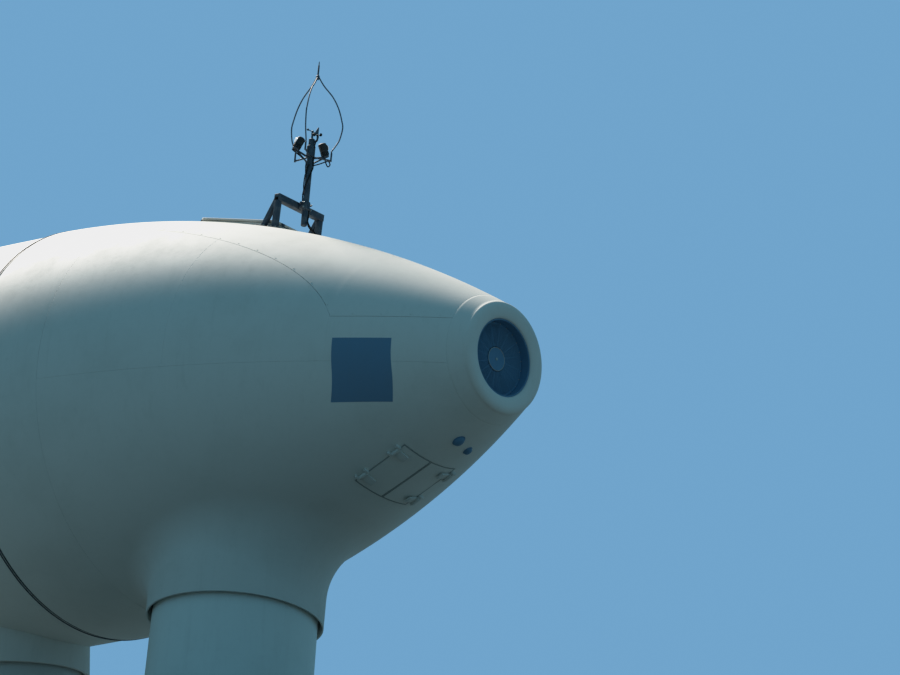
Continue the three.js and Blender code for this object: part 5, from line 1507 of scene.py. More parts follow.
mast_parts = [
    round_bar((0, 0, MAST_FOOT), (0, 0, MAST_TOP), MAST_RADIUS, turns=40, chamfer=0.2),
    round_bar((0, 0, MAST_TOP - 0.25), (0, 0, MAST_TOP - 0.10), MAST_RADIUS + 0.016, turns=40, chamfer=0.08),
    round_bar((0, 0, MAST_TOP - 0.02), (0, 0, VANE_BASE - SEAT), 0.013),
    round_bar((0, 0, CUPS_BASE - 0.09), (CUPS_X, 0, CUPS_BASE - 0.03), 0.009),
    round_bar((CUPS_X, 0, CUPS_BASE - 0.045), (CUPS_X, 0, CUPS_BASE - SEAT), 0.0125),
]
for angle in LAMP_SIDES.values():
    foot = on_lamp(angle, -LAMP_HALF - 0.020)
    mast_parts.append(round_bar((0, 0, LAMP_Z - 0.17), foot, 0.013))
    mast_parts.append(round_bar((0, 0, LAMP_Z - 0.26), foot, 0.011))
    plate_ends = on_lamp(angle, -LAMP_HALF - 0.025), on_lamp(angle, -LAMP_HALF)
    mast_parts.append(round_bar(*plate_ends, 0.045, turns=28))
for angle in CAGE_ANGLES:
    foot_low, foot_high = [around(CAGE_FOOT, angle, z) for z in (CAGE_ARM_Z - 0.015, CAGE_BOTTOM)]
    mast_parts.append(round_bar((0, 0, CAGE_ARM_Z), around(CAGE_FOOT, angle, CAGE_ARM_Z), 0.011))
    mast_parts.append(round_bar(foot_low, foot_high, 0.0115))
finished(joined("mast_and_arms", mast_parts), "nacelle", DARK_ZINC, "galvanised", "sensor_mast")
print("mast parts", len(mast_parts))

# %% [markdown]
# Cables climb the mast in a loose spiral under ties, and leave it to the lamps and sensors.
# One has a small spare loop. They are fixed at both ends, so they are part of the mast.

# %% Mast cables
CABLE_RADIUS, CABLE_OFF, GLAND_STEP, GLAND_HALF = 0.008, 0.050, 0.02, 0.03
CLIMB_LOW, CLIMB_HIGH, CLIMB_STEPS = 2.44, 3.20, 12
CABLE_FOOT_OUT, CABLE_FOOT_Z = 0.085, 2.37
LOOP_RADIUS, LOOP_TURNS = 0.040, (-1.2, 0.2, 1.6, 3.1, 4.6)


def smooth_path(points, per_step=6):
    """A curve through points, as many short straight steps."""
    knots = [Vector(point) for point in points]
    knots = [2 * knots[0] - knots[1]] + knots + [2 * knots[-1] - knots[-2]]
    path = []
    for a, b, c, d in zip(knots, knots[1:], knots[2:], knots[3:]):
        for t in (k / per_step for k in range(per_step)):
            path.append(0.5 * ((2 * b) + (c - a) * t + (2 * a - 5 * b + 4 * c - d) * t ** 2
                               + (3 * b - a - 3 * c + d) * t ** 3))
    return path + [knots[-2]]


def climbing(start_angle, turn):
    """Points of a spiral up the mast."""
    return [around(CABLE_OFF, start_angle + turn * share, CLIMB_LOW + (CLIMB_HIGH - CLIMB_LOW) * share)
            for share in (k / CLIMB_STEPS for k in range(CLIMB_STEPS + 1))]


roof_here = TO_EGG @ (PLUMB @ Vector((0.12, 0.0, 0.0)))
gland = PLUMB.inverted() @ skin_frame(roof_here.x, 0.03).translation
left, right = LAMP_SIDES.values()
spare_loop = [on_lamp(right, -0.175, 0.01)
              + Vector((0, LOOP_RADIUS * math.sin(a), LOOP_RADIUS * math.cos(a) - 0.02)) for a in LOOP_TURNS]
cable_ends = {
    "left": [around(0.07, left, 3.27), on_lamp(left, -0.135, 0.03), on_lamp(left, -0.112, -0.01),
             on_lamp(left, -0.105)],
    "right": [around(0.08, right, 3.24), *spare_loop, on_lamp(right, -0.125, -0.02), on_lamp(right, -0.105)],
    "cups": [around(0.046, 0.1, 3.40), around(0.056, 0.0, 3.46), Vector((0.070, 0, 3.515)),
             Vector((0.088, 0, 3.535))],
}
glands = []
for number, (word, tail) in enumerate(cable_ends.items()):
    foot = gland + Vector((0, GLAND_STEP * number, 0))
    glands.append(round_bar(foot - GLAND_HALF * UP, foot + GLAND_HALF * UP, 0.0095))
    start = 0.4 + 0.5 * number
    points = [foot - 0.01 * UP, foot + 0.05 * UP, around(CABLE_FOOT_OUT, start - 0.2, CABLE_FOOT_Z)]
    points += climbing(start, 3.2 + 1.1 * number) + tail
    mesh = path_mesh(f"mast_cable_{word}", [PLUMB @ point for point in smooth_path(points)])
    cable = grown(f"mast_cable_{word}", mesh, cables, RUBBER, Cable_Radius=CABLE_RADIUS, Tie_Step=0.22,
                  Tie_Radius=0.011, Tie_Width=0.010)
    finished(cable, "nacelle", RUBBER, "lamp_plastic", "sensor_mast")
finished(joined("cable_glands", glands), "nacelle", DARK_ZINC, "galvanised", "sensor_mast")
print("cables", list(cable_ends))

# %% [markdown]
# Each warning lamp is a leaning canister with a finned foot and a domed top. A round lens
# looks out of its upper side through a short hood. Housing and lens are separate pieces,
# because only the lens is clear and carries the painted highlight.

# %% Warning lamps
CAP_START, CAP_ROUND, FIN_STEP, FIN_DEPTH = 0.065, 0.020, 0.012, 0.006
HOOD_PROFILE = [(0.030, 0.0), (0.030, 0.042), (0.052, 0.042), (0.054, 0.041), (0.052, 0.040), (0.050, 0.0)]
LENS_RADIUS, LENS_BULGE, LENS_EDGE, LENS_STEPS = 0.0395, 0.020, 0.052, 6
COLLAR_LINE, LENS_HEIGHT = LAMP_RADIUS - 0.002, 0.015

low = -LAMP_HALF + SEAT
canister = [(low, 0.0), (low, LAMP_RADIUS - FIN_DEPTH)]
for fin_start in (low + FIN_DEPTH + FIN_STEP * k for k in range(4)):
    canister += moved(fin_start, LAMP_RADIUS, [(0, -FIN_DEPTH), (0.001, 0), (0.005, 0), (0.006, -FIN_DEPTH)])
canister += [(-0.020, COLLAR_LINE), (0.055, COLLAR_LINE), (0.058, LAMP_RADIUS), (0.064, LAMP_RADIUS)]
canister += [(CAP_START + CAP_ROUND * math.sin(a), COLLAR_LINE * math.cos(a)) for a in (0.3, 0.6, 0.9, 1.2)]
canister.append((CAP_START + CAP_ROUND, 0.0))
quarter = [math.pi / 2 * k / LENS_STEPS for k in range(LENS_STEPS, 0, -1)]
bulge = [(LENS_EDGE + LENS_BULGE * math.cos(a), LENS_RADIUS * math.sin(a)) for a in quarter]
lens_profile = [(LENS_EDGE - 0.0015, 0.0), (LENS_EDGE - 0.0015, LENS_RADIUS)]
lens_profile += bulge + [(LENS_EDGE + LENS_BULGE, 0.0)]

for word, angle in LAMP_SIDES.items():
    axis = toward(on_lamp(angle, 0.0), on_lamp(angle, 0.1))[0]
    look_out = toward(on_lamp(angle, LENS_HEIGHT), on_lamp(angle, LENS_HEIGHT, 0.1))[0]
    housing = [revolved("canister", canister, 40, axis), revolved("hood", HOOD_PROFILE, 32, look_out)]
    node = f"warning_lamp_{word}"
    finished(joined(f"lamp_{word}_housing", housing), "nacelle", DARK_PLASTIC, "lamp_plastic", node)
    finished(revolved(f"lamp_{word}_lens", lens_profile, 32, look_out), "nacelle", LENS, "lamp_plastic", node)
print("lamps", list(LAMP_SIDES))

# %% [markdown]
# The lightning cage is three bent rods that rise round the sensors and meet under a spike.
# Each rod is a curve through a few points, given a round bevel and turned into a mesh.

# %% Lightning cage
CAGE_BEND = [(0.0003, 0.275), (0.024, 0.275), (0.105, 0.320), (0.200, 0.363), (0.360, 0.390), (0.458, 0.372),
             (0.620, 0.314), (0.763, 0.225), (0.890, 0.097), (1.000, 0.014)]
ROD_RADIUS = 0.009
KNOT_PROFILE = [(0.0, 0.0), (0.0, 0.016), (0.012, 0.024), (0.048, 0.024), (0.060, 0.014), (0.060, 0.0)]
SPIKE_PROFILE = [(0.0, 0.0), (0.0, 0.012), (0.160, 0.011), (0.166, 0.007), (0.200, 0.0065), (0.220, 0.001),
                 (0.220, 0.0)]


def upright(x, z):
    """A frame of the mast whose first axis points straight up."""
    return toward((x, 0, z), (x, 0, z + 1))[0]


def bent_rod(points, radius):
    """A round rod along a path."""
    curve = bpy.data.curves.new("rod", "CURVE")
    curve.dimensions, curve.bevel_depth, curve.bevel_resolution, curve.use_fill_caps = "3D", radius, 2, True
    spline = curve.splines.new("POLY")
    spline.points.add(len(points) - 1)
    for place_here, point in zip(spline.points, points):
        place_here.co = (*point, 1)
    return baked(new_object("rod", curve))


cage_parts = []
for angle in CAGE_ANGLES:
    bend = smooth_path([around(radius, angle, CAGE_BOTTOM + height) for height, radius in CAGE_BEND])
    cage_parts.append(bent_rod([PLUMB @ point for point in bend], ROD_RADIUS))
cage_parts.append(revolved("knot", KNOT_PROFILE, 28, upright(0, CAGE_TOP - 0.035)))
cage_parts.append(revolved("spike", SPIKE_PROFILE, 20, upright(0, CAGE_TOP)))
finished(joined("lightning_cage_rods", cage_parts), "nacelle", CAGE_ZINC, "galvanised", "lightning_cage")
print("cage rods", len(CAGE_ANGLES))

# %% [markdown]
# The cup wheel turns on its own stem: three hollow half balls of dark plastic on thin arms.
# The vane is painted like the cage. It has a slim fin behind and a bullet weight in front.

# %% Wind sensors
CUP_COUNT, CUP_ARM, CUP_RADIUS, CUP_WALL, ARC_STEPS = 3, 0.050, 0.022, 0.0015, 8
CUP_HUB = [(0.0, 0.0), (0.0, 0.012), (0.004, 0.014), (0.030, 0.014), (0.038, 0.009), (0.040, 0.0)]
VANE_HUB = [(0.0, 0.0), (0.0, 0.013), (0.003, 0.015), (0.050, 0.015), (0.060, 0.006), (0.060, 0.0)]
BULLET = [(0.0, 0.0), (0.003, 0.009), (0.010, 0.014), (0.025, 0.014), (0.027, 0.006), (0.027, 0.0)]
FIN = [(0.040, -0.030), (0.110, -0.022), (0.112, 0.094), (0.106, 0.100), (0.088, 0.092), (0.046, 0.010)]
FIN_HALF, BOOM_REACH, BOOM_RADIUS = 0.0018, 0.09, 0.0055

arc = [math.pi / 2 * j / ARC_STEPS for j in range(ARC_STEPS + 1)]
cup, hollow = [[(radius * math.cos(a), radius * math.sin(a)) for a in arc]
               for radius in (CUP_RADIUS, CUP_RADIUS - CUP_WALL)]
cup_centre = Vector((CUPS_X, 0, CUPS_BASE + 0.025))
wheel = [revolved("hub", CUP_HUB, 24, upright(CUPS_X, CUPS_BASE))]
for angle in (math.tau * k / CUP_COUNT for k in range(CUP_COUNT)):
    reach_out = around(1, angle, 0)
    centre = cup_centre + CUP_ARM * reach_out
    wheel.append(round_bar(cup_centre, centre - 0.004 * reach_out, 0.0035, turns=12))
    wheel.append(revolved("cup", cup + hollow[::-1], 24, toward(centre, centre + UP.cross(reach_out))[0]))
finished(joined("cup_wheel", wheel), "cups", DARK_PLASTIC, "lamp_plastic", "anemometer_cups")

boom_z = VANE_BASE + 0.040
fin_points = [PLUMB @ Vector((x, y, boom_z + z)) for x in (-FIN_HALF, FIN_HALF) for y, z in FIN]
corners = len(FIN)
fin_faces = [tuple(range(corners)), tuple(range(corners, 2 * corners))] + band(0, corners, corners)
vane = joined("wind_vane_body", [
    revolved("hub", VANE_HUB, 24, upright(0, VANE_BASE)),
    revolved("bullet", BULLET, 24, toward((0, -0.107, boom_z), (0, 0, boom_z))[0]),
    mesh_of("fin", fin_points, fin_faces),
    round_bar((0, -BOOM_REACH, boom_z), (0, BOOM_REACH, boom_z), BOOM_RADIUS, turns=14)])
finished(vane, "vane", CAGE_ZINC, "lamp_plastic", "wind_vane")
print("cups", CUP_COUNT, "vane height", round(boom_z, 3))

# %% [markdown]
# The air outlet is closed by a dark wire guard with a round plate in its middle, and behind
# it turn seven fan blades. One blade and one spoke are drawn, and the tree for turned copies
# repeats them about the rotor axis.

# %% Fan guard
GUARD_PLANE, GUARD_REACH, PLATE_RADIUS, GUARD_RIM = 4.09, 0.4792, 0.155, 0.024
WIRE_RADIUS, WIRE_SIDES, WIRE_LIFT, WIRE_STEP = 0.0046, 6, 0.004, 0.0125
SPOKES, GUARD_BOLTS, HOOP_TURNS, RIM_TURNS = 16, 24, 96, 128
AXIS_WAY = BUILD_TO_TOWER.to_3x3() @ Vector((1, 0, 0))
AXIS_POINT = in_tower((0, 0, 0))
RIM_STEPS = [(0, -GUARD_RIM), (0, 0), (0.008, 0), (0.010, -0.003), (0.010, 0.003 - GUARD_RIM),
             (0.008, -GUARD_RIM)]
PLATE_STEPS = [(-0.004, -PLATE_RADIUS), (-0.004, -0.004), (0, 0), (0.010, 0), (0.013, -0.004),
               (0.014, -0.012), (0.010, -0.022), (0.012, -PLATE_RADIUS)]
BOSS_STEPS = [(-0.002, 0.0), (-0.002, 0.020), (0.006, 0.018), (0.008, 0.0)]


def wire_hoop(s, radius, wire):
    """A ring of wire about the rotor axis."""
    turns = [math.tau * k / WIRE_SIDES for k in range(WIRE_SIDES)]
    section = [(wire * math.cos(a), wire * math.sin(a)) for a in turns]
    return revolved("hoop", moved(s, radius, section), HOOP_TURNS)


def copied(name, mesh, count):
    """A mesh repeated about the rotor axis."""
    return grown(name, mesh, turned_copies, DARK_PAINT, Count=count, Axis=AXIS_WAY, Centre=AXIS_POINT)


wire_s, ring_s, bolt_s = GUARD_PLANE + WIRE_LIFT, GUARD_PLANE + 0.012, GUARD_PLANE + 0.010
wires = [wire_hoop(wire_s, radius, WIRE_RADIUS) for radius in spread(0.17, 0.45, WIRE_STEP)]
rim = revolved("rim", moved(GUARD_PLANE, GUARD_REACH, RIM_STEPS), RIM_TURNS)
plate = revolved("plate", moved(GUARD_PLANE, PLATE_RADIUS, PLATE_STEPS), HOOP_TURNS)
spoke_ends = [(wire_s, 0, radius) for radius in (PLATE_RADIUS - 0.01, GUARD_REACH - 0.012)]
spokes = copied("spokes", round_bar(*spoke_ends, WIRE_RADIUS, BUILD_TO_TOWER, 8), SPOKES)
guard = joined("fan_guard_wires", wires + [rim, plate, spokes])
finished(guard, "nacelle", DARK_PAINT, "dark_paint", "fan_guard")
boss = revolved("boss", moved(ring_s, 0, BOSS_STEPS), 24)
pale_ring = joined("guard_plate_ring", [wire_hoop(ring_s, PLATE_RADIUS - 0.006, 0.0055), boss])
finished(pale_ring, "nacelle", STEEL, "galvanised", "fan_guard")
guard_spots = bolt_circle(BUILD_TO_TOWER, bolt_s, GUARD_REACH - GUARD_RIM / 2, GUARD_BOLTS)
bolted("guard_bolts", guard_spots, "nacelle", "fan_guard",
       Head_Radius=0.005, Head_Height=0.004, Washer_Radius=0.008, Washer_Height=0.0015)
print("guard wires", len(wires), "spokes", SPOKES)

# %% [markdown]
# The fan wheel is a round nave with seven twisted blades. A blade is two grids of points, its
# two faces, closed round the edge like a wall of the cover. The nave is bored for the shaft.

# %% Fan wheel
FAN_PLANE, FAN_HUB, FAN_TIP, FAN_BLADES = 3.99, 0.150, 0.442, 7
ROOT_PITCH, PITCH_LOSS, CHORD_HALF, CHORD_SWELL = 0.72, 0.26, 0.070, 0.006
BLADE_CAMBER, BLADE_EDGE, BLADE_BODY, CHORD_POINTS = 0.012, 0.0012, 0.0042, 10
SHAFT_BORE, NAVE_TURNS = 0.027, 72
NAVE_STEPS = [(-0.040, SHAFT_BORE), (-0.040, FAN_HUB - 0.003), (-0.037, FAN_HUB), (0.018, FAN_HUB),
              (0.030, FAN_HUB - 0.010), (0.038, FAN_HUB - 0.040), (0.040, 0.050), (0.040, 0.0), (0.004, 0.0),
              (0.004, SHAFT_BORE)]


def fan_blade():
    """One twisted, cambered blade: two grids of points, for its two faces."""
    faces = ([], [])
    for radius in spread(FAN_HUB - 0.012, FAN_TIP, 0.022):
        share = (radius - FAN_HUB) / (FAN_TIP - FAN_HUB)
        pitch = ROOT_PITCH - PITCH_LOSS * share
        half_chord = CHORD_HALF + CHORD_SWELL * math.sin(math.pi * max(0, share))
        for face, side in zip(faces, (1, -1)):
            row = []
            for t in (2 * k / CHORD_POINTS - 1 for k in range(CHORD_POINTS + 1)):
                chord = half_chord * t
                lift = BLADE_CAMBER * (1 - t * t) + side * (BLADE_EDGE + BLADE_BODY * (1 - t * t))
                row.append(in_tower((FAN_PLANE - chord * math.sin(pitch) + lift * math.cos(pitch),
                                     chord * math.cos(pitch) + lift * math.sin(pitch), radius)))
            face.append(row)
    return wall_mesh("blade", *faces)


blades = copied("blades", fan_blade(), FAN_BLADES)
nave = revolved("nave", moved(FAN_PLANE, 0, NAVE_STEPS), NAVE_TURNS)
finished(joined("fan_wheel", [nave, blades]), "fan", DARK_PAINT, "dark_paint", "fan_impeller")
print("fan blades", FAN_BLADES)

# %% [markdown]
# The fan's motor hangs in the duct on four stays from a ring. Cooling ribs run along its
# casing, again as turned copies of a single one.

# %% Fan motor
MOTOR_FRONT, MOTOR_REAR, MOTOR_CASE, RIB_COUNT, STAY_COUNT = 3.68, 3.93, 0.122, 36, 4
FRONT_STEPS = [(0.0, 0.0), (0.0, 0.090), (0.012, MOTOR_CASE)]
REAR_STEPS = [(-0.045, MOTOR_CASE), (-0.045, 0.139), (-0.010, 0.139), (-0.002, 0.125), (0.0, 0.060),
              (0.0, 0.025)]
SHAFT_END = [(FAN_PLANE, 0.025), (FAN_PLANE, 0.0)]
STAY_RING = [(3.70, 0.4657), (3.70, 0.4794), (3.76, 0.4794), (3.76, 0.4657)]
RIB_BOX = (MOTOR_FRONT + 0.020, -0.002, MOTOR_CASE - 0.004), (MOTOR_REAR - 0.050, 0.002, 0.138)
STAY_BOX = (3.715, -0.018, 0.110), (3.745, 0.018, 0.470)

casing_profile = moved(MOTOR_FRONT, 0, FRONT_STEPS) + moved(MOTOR_REAR, 0, REAR_STEPS) + SHAFT_END
motor_parts = [
    revolved("casing", casing_profile, NAVE_TURNS),
    revolved("stay_ring", STAY_RING, HOOP_TURNS),
    copied("ribs", box_mesh("rib", *RIB_BOX), RIB_COUNT),
    copied("stays", box_mesh("stay", *STAY_BOX), STAY_COUNT)]
finished(joined("fan_motor_casing", motor_parts), "nacelle", DARK_PAINT, "dark_paint", "fan_motor")
print("motor ribs", RIB_COUNT)

# %% [markdown]
# Two dark cowls sit on the belly behind the floor hatch. Each is a low dome with a foot
# flange, and its loops shrink from the flange to the crown.

# %% Drain cowls
COWLS = [(3.630, -0.010, 0.065), (3.525, 0.280, 0.050)]
COWL_LONG, COWL_WIDE, COWL_RISE, COWL_POINTS = 1.2, 0.94, 0.74, 40
FLANGE_ROWS = [(1.18, -0.012), (1.18, 0.004), (1.14, 0.006), (1.02, 0.007), (1.0, 0.012)]
DOME_ANGLES = (0.25, 0.5, 0.75, 1.0, 1.25, 1.45)

for number, (s, y, radius) in enumerate(COWLS, 1):
    matrix = skin_frame(s, y, -1)
    rows = FLANGE_ROWS + [(math.cos(a), 0.012 + COWL_RISE * radius * math.sin(a)) for a in DOME_ANGLES]
    half_long, half_wide = COWL_LONG * radius, COWL_WIDE * radius
    turns = [math.tau * k / COWL_POINTS for k in range(COWL_POINTS)]
    loops = [[matrix @ Vector((half_long * grow * math.cos(a), half_wide * grow * math.sin(a), z))
              for a in turns] for grow, z in rows]
    cowl = hoop(f"drain_cowl_{number}_dome", loops, closed=False)
    finished(cowl, "nacelle", DARK_PAINT, "lamp_plastic", f"drain_cowl_{number}")
print("cowls", len(COWLS))

# %% [markdown]
# The spinner is half an ellipse spun about the rotor axis, with a seam where its nose cap
# comes off. Three holes take the blade roots, and a short collar stands round each.

# %% Spinner
NOSE_SEAM, ROTOR_PLANE = -5.45, -4.3
BLADE_ANGLES = [math.radians(angle) for angle in (50.7, 170.7, 290.7)]
ROOT_RADIUS, ROOT_END = 0.95, 3.3
COLLAR_INNER, COLLAR_OUTER, COLLAR_END = 1.005, 1.055, 2.95
PORT_LOW, PORT_HIGH, SHELL_STEPS, NOSE_STEPS, SMALL_ROUND = 1.25, 4.0, 24, 20, 0.012

reach = SPINNER_TIP - SPINNER_SHOULDER
seam_turn = math.asin((NOSE_SEAM + SEAM - SPINNER_SHOULDER) / reach)


def dome_point(angle, inset=0.0):
    """A point of the spinner's ellipse, or of one that lies inside it."""
    return SPINNER_SHOULDER + (reach + inset) * math.sin(angle), (SPINNER_RADIUS - inset) * math.cos(angle)


def blade_frame(angle):
    """The first axis of this frame runs out along a blade."""
    hub = BUILD_TO_TOWER @ Matrix.Translation((ROTOR_PLANE, 0, 0))
    return hub @ Matrix.Rotation(-angle, 4, "X") @ TURN_UP


shell_rows = [GAP_FRONT, GAP_FRONT - SMALL_ROUND, SPINNER_SHOULDER]
shell_rows += [dome_point(seam_turn * k / SHELL_STEPS)[0] for k in range(1, SHELL_STEPS + 1)]
shell_outer = [(s, spinner_radius(s)) for s in shell_rows]
shell_outer[0] = (GAP_FRONT, SPINNER_RADIUS - 0.010)
last_s, last_radius = shell_outer[-1]
shell_outer[-1] = (last_s, last_radius - EDGE_ROUND)
shell_inner = [(s, spinner_radius(s) - WALL) for s in shell_rows]
spinner = revolved("spinner_laminate", shell_outer + shell_inner[::-1], RING_TURNS)
ports = [tube_mesh("port", PORT_LOW, PORT_HIGH, COLLAR_INNER, blade_frame(angle)) for angle in BLADE_ANGLES]
spinner = cut(spinner, *ports)
finished(spinner, "rotor", GEL_COAT, "gelcoat", "spinner_shell")

turns = [seam_turn + (math.pi / 2 - seam_turn) * k / NOSE_STEPS for k in range(NOSE_STEPS + 1)]
seam_s, seam_radius = dome_point(seam_turn)
nose_start = seam_s - 2 * SEAM
nose_outer = [(nose_start, seam_radius - SMALL_ROUND)]
nose_outer += [dome_point(a) for a in turns[1:-1]] + [(SPINNER_TIP, 0.0)]
nose_inner = [dome_point(a, WALL) for a in turns]
nose_inner = [(min(s, nose_start), max(0.0, radius)) for s, radius in nose_inner]
nose = revolved("spinner_nose_cap", nose_outer + nose_inner[::-1], RING_TURNS)
finished(nose, "rotor", GEL_COAT, "gelcoat", "spinner_nose")
print("spinner", len(spinner.polygons), "faces; nose", len(nose.polygons), "faces")

# %% [markdown]
# A blade root is a plain tube that reaches the hub. Its collar is open to the outside and
# follows the spinner at its foot, so its foot is cut by a body that lies two millimetres
# inside the spinner's outer surface.

# %% Blade roots and collars
ROOT_WALL, ROOT_FOOT, NECK_RADIUS, ROOT_BORE, ROOT_TURNS = 0.06, 1.2503, 0.76, 0.5, 144
CORE_INSET, CORE_STEPS, CORE_REAR, COLLAR_FOOT = 0.002, 40, -2.4, 1.6

core_turns = [math.pi / 2 * (1 - k / CORE_STEPS) for k in range(1, CORE_STEPS + 1)]
core_profile = [(SPINNER_TIP + CORE_INSET, 0.0)] + [dome_point(a, CORE_INSET) for a in core_turns]
core_profile += [(CORE_REAR, SPINNER_RADIUS - CORE_INSET), (CORE_REAR, 0.0)]
collar_profile = [(COLLAR_FOOT, COLLAR_INNER), (COLLAR_FOOT, COLLAR_OUTER)]
collar_profile += moved(COLLAR_END, COLLAR_OUTER, [(-0.012, 0), (-0.003, -0.003), (0, -0.012)])
collar_profile += moved(COLLAR_END, COLLAR_INNER, [(0, 0.006), (-0.006, 0)])
root_profile = [(ROOT_FOOT, ROOT_BORE), (ROOT_FOOT, NECK_RADIUS), (1.37, NECK_RADIUS), (1.65, ROOT_RADIUS)]
root_profile += moved(ROOT_END, ROOT_RADIUS, [(-0.004, 0), (0, -0.004), (0, -ROOT_RADIUS)])
root_profile += moved(ROOT_END - ROOT_WALL, ROOT_RADIUS - ROOT_WALL, [(0, ROOT_WALL - ROOT_RADIUS), (0, 0)])
root_profile += [(1.68, ROOT_RADIUS - ROOT_WALL), (1.4, ROOT_BORE)]

for number, angle in enumerate(BLADE_ANGLES, 1):
    matrix = blade_frame(angle)
    core = revolved("core", core_profile, RING_TURNS)
    collar = revolved(f"root_collar_{number}", collar_profile, ROOT_TURNS, matrix)
    finished(cut(collar, core), "rotor", GEL_COAT, "gelcoat", f"blade_collar_{number}")
    root = revolved(f"blade_root_{number}", root_profile, ROOT_TURNS, matrix)
    finished(root, f"pitch_{number}", BLADE_COAT, "blade_paint", f"blade_adapter_{number}")
print("blade roots at", [round(math.degrees(angle), 1) for angle in BLADE_ANGLES], "degrees from the top")

# %% [markdown]
# The tower is a slightly conical steel can. A weld bead runs round it where two plates meet.
# Can and bead are one profile, spun about the upright axis.

# %% Tower
TOWER_TOP, TOWER_TOP_RADIUS, TOWER_TAPER, TOWER_WALL, TOWER_TURNS = 2.15, 1.05, 0.0187, 0.04, 192
WELD_HEIGHT, WELD_HALF, WELD_PROUD, WELD_STEPS, CAN_FOOT = 0.72, 0.014, 0.003, 4, 0.0403


def tower_radius(z):
    return TOWER_TOP_RADIUS + (TOWER_TOP - z) * TOWER_TAPER


can_profile = [(CAN_FOOT, tower_radius(CAN_FOOT))]
for share in (k / WELD_STEPS for k in range(-WELD_STEPS, WELD_STEPS + 1)):
    bead = WELD_PROUD * math.cos(math.pi / 2 * share)
    can_profile.append((WELD_HEIGHT + WELD_HALF * share, tower_radius(WELD_HEIGHT) + bead))
can_profile += moved(TOWER_TOP, TOWER_TOP_RADIUS, [(-0.003, 0), (0, -0.003), (0, -TOWER_WALL)])
can_profile.append((CAN_FOOT, tower_radius(0) - TOWER_WALL))
can = revolved("tower_can", can_profile, TOWER_TURNS, TURN_UP)
finished(can, "tower", TOWER_PAINT, "tower_paint", "tower_section")
print("tower can", len(can.polygons), "faces")

# %% [markdown]
# The tower's lower end is a ring flange, bolted to the next section from inside, and the
# blade roots end in a circle of studs for the blades. All of them are fasteners on a circle.

# %% Flanges and bolt circles
FLANGE_RADIUS, FLANGE_THICK = tower_radius(0), 0.040
FLANGE_BOLTS, STUDS, NOSE_SCREWS, SCREW_INSET = 72, 54, 36, 0.035


def away(angle):
    """The direction out of the rotor axis at an angle from the top."""
    return spun(0, 1, angle) - spun(0, 0, 0)


flange_profile = [(0.0, 0.0)] + moved(0.0, FLANGE_RADIUS, [(0, -0.004), (0.004, 0)])
flange_profile += moved(FLANGE_THICK, FLANGE_RADIUS, [(-0.003, 0), (0, -0.003), (0, -FLANGE_RADIUS)])
flange = revolved("tower_ring_flange", flange_profile, TOWER_TURNS, TURN_UP)
finished(flange, "tower", TOWER_PAINT, "tower_paint", "tower_flange_plate")
flange_spots = bolt_circle(TURN_UP, FLANGE_THICK, FLANGE_RADIUS - 0.12, FLANGE_BOLTS)
bolted("tower_flange_bolts", flange_spots, "tower", "tower_flange_plate",
       Head_Radius=0.021, Head_Height=0.020, Washer_Radius=0.030, Washer_Height=0.005)

for number, angle in enumerate(BLADE_ANGLES, 1):
    stud_spots = bolt_circle(blade_frame(angle), ROOT_END, ROOT_RADIUS - 0.035, STUDS)
    bolted(f"blade_studs_{number}", stud_spots, f"pitch_{number}", f"blade_adapter_{number}",
           Head_Radius=0.012, Head_Height=0.016, Head_Sides=ROUND_HEAD,
           Washer_Radius=0.018, Washer_Height=0.003, Seed=number)
screw_s = NOSE_SEAM + SCREW_INSET
nose_spots = [(spun(screw_s, spinner_radius(screw_s), angle), away(angle))
              for angle in (math.tau * k / NOSE_SCREWS for k in range(NOSE_SCREWS))]
bolted("nose_screws", nose_spots, "rotor", "spinner_nose", GEL_COAT, "gelcoat",
       Head_Radius=0.009, Head_Height=0.003, Head_Sides=ROUND_HEAD, Washer_Radius=0.013, Washer_Height=0.002)
print("flange bolts", len(flange_spots), "studs", 3 * STUDS, "nose screws", len(nose_spots))

# %% [markdown]
# The panels of the cover are held to each other by a row of flush screws along the hood's
# edge. The row follows the same law of the angle as the edge does.

# %% Hood screws
SCREW_STEP, ROW_END = 0.34, 0.15

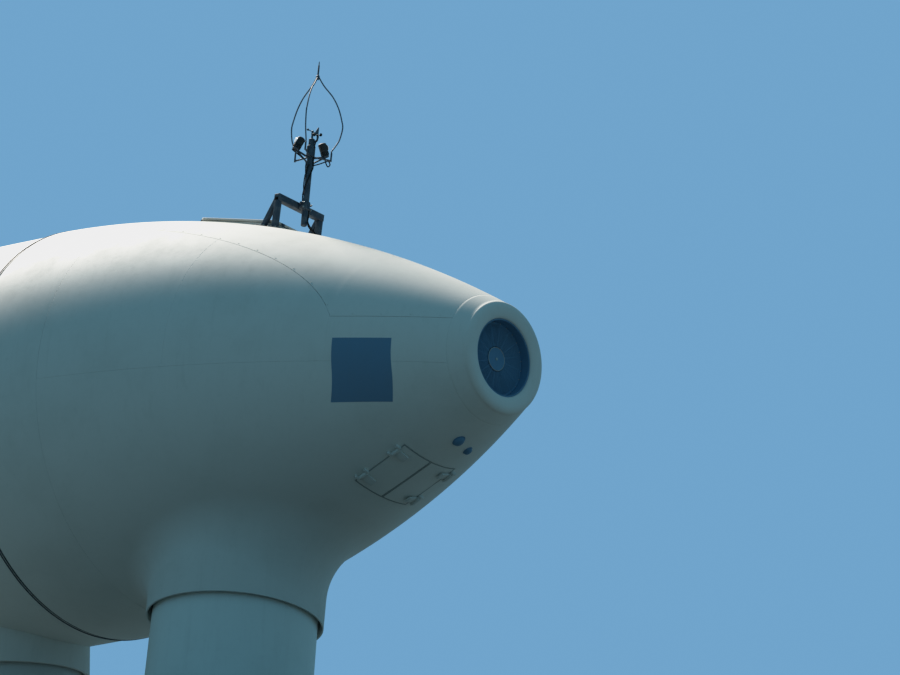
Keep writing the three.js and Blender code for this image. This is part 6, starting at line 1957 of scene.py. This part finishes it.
hood_spots = []
for _, side in SIDES:
    for s in spread(RING_SEAM + ROW_END, TAIL_SEAM - ROW_END, SCREW_STEP):
        radius = egg_radius(s)
        angle = side * (hood_edge(s) - SCREW_INSET / radius)
        hood_spots.append((spun(s, radius, angle), away(angle)))
bolted("hood_screws", hood_spots, "nacelle", "roof_hood", HINGE_PAINT, "gelcoat",
       Head_Radius=0.007, Head_Height=0.001, Head_Sides=ROUND_HEAD, Washer_Radius=0.010, Washer_Height=0.001)
print("hood screws", len(hood_spots))

# %% [markdown]
# A plain dark blue field marks the flank. It is a thin film that follows the egg across the
# seam between the side panel and the belly.

# %% Dark field on the flank
FIELD_START, FIELD_WIDTH, FIELD_TOP, FIELD_LOW = 2.65, 0.71, 0.0, -0.79
FIELD_CLIMB, FIELD_PULL, FIELD_STEP, FIELD_FACES = 0.05, 0.075, 0.05, (0.0012, 0.0002)


def film_face(lift):
    """Points on the left flank; the upright edges bend back a little in the lower half."""
    rows, bend = [], FIELD_LOW / 2
    for height in spread(FIELD_LOW, FIELD_TOP, FIELD_STEP):
        start = FIELD_START - FIELD_PULL * max(0, bend - height) ** 2 / bend ** 2
        row = []
        for s in spread(start, start + FIELD_WIDTH, FIELD_STEP):
            z, radius = height * (1 - FIELD_CLIMB * (s - start)), egg_radius(s)
            row.append(spun(s, radius + lift, -math.acos(z / radius)))
        rows.append(row)
    return rows


field = wall_mesh("flank_field", *[film_face(lift) for lift in FIELD_FACES])
finished(field, "nacelle", MARK_BLUE, "dark_paint", "side_panel_rear_left", "belly_shell")
print("field", FIELD_WIDTH, "m long")

# %% [markdown]
# The load-carrying parts inside the cover keep their CAD shapes: the turntable, the main
# carrier, the axle pin, the generator's two discs and the hub. They are primed castings.

# %% Machinery inside
INSIDE = ("yaw_bearing", "yaw_turntable", "main_carrier", "axle_pin", "generator_stator", "hub_casting",
          "generator_rotor")
for name in INSIDE:
    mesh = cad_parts[name].data
    mesh.materials.clear()
    mesh.materials.append(CASTING)
print("castings", len(INSIDE))
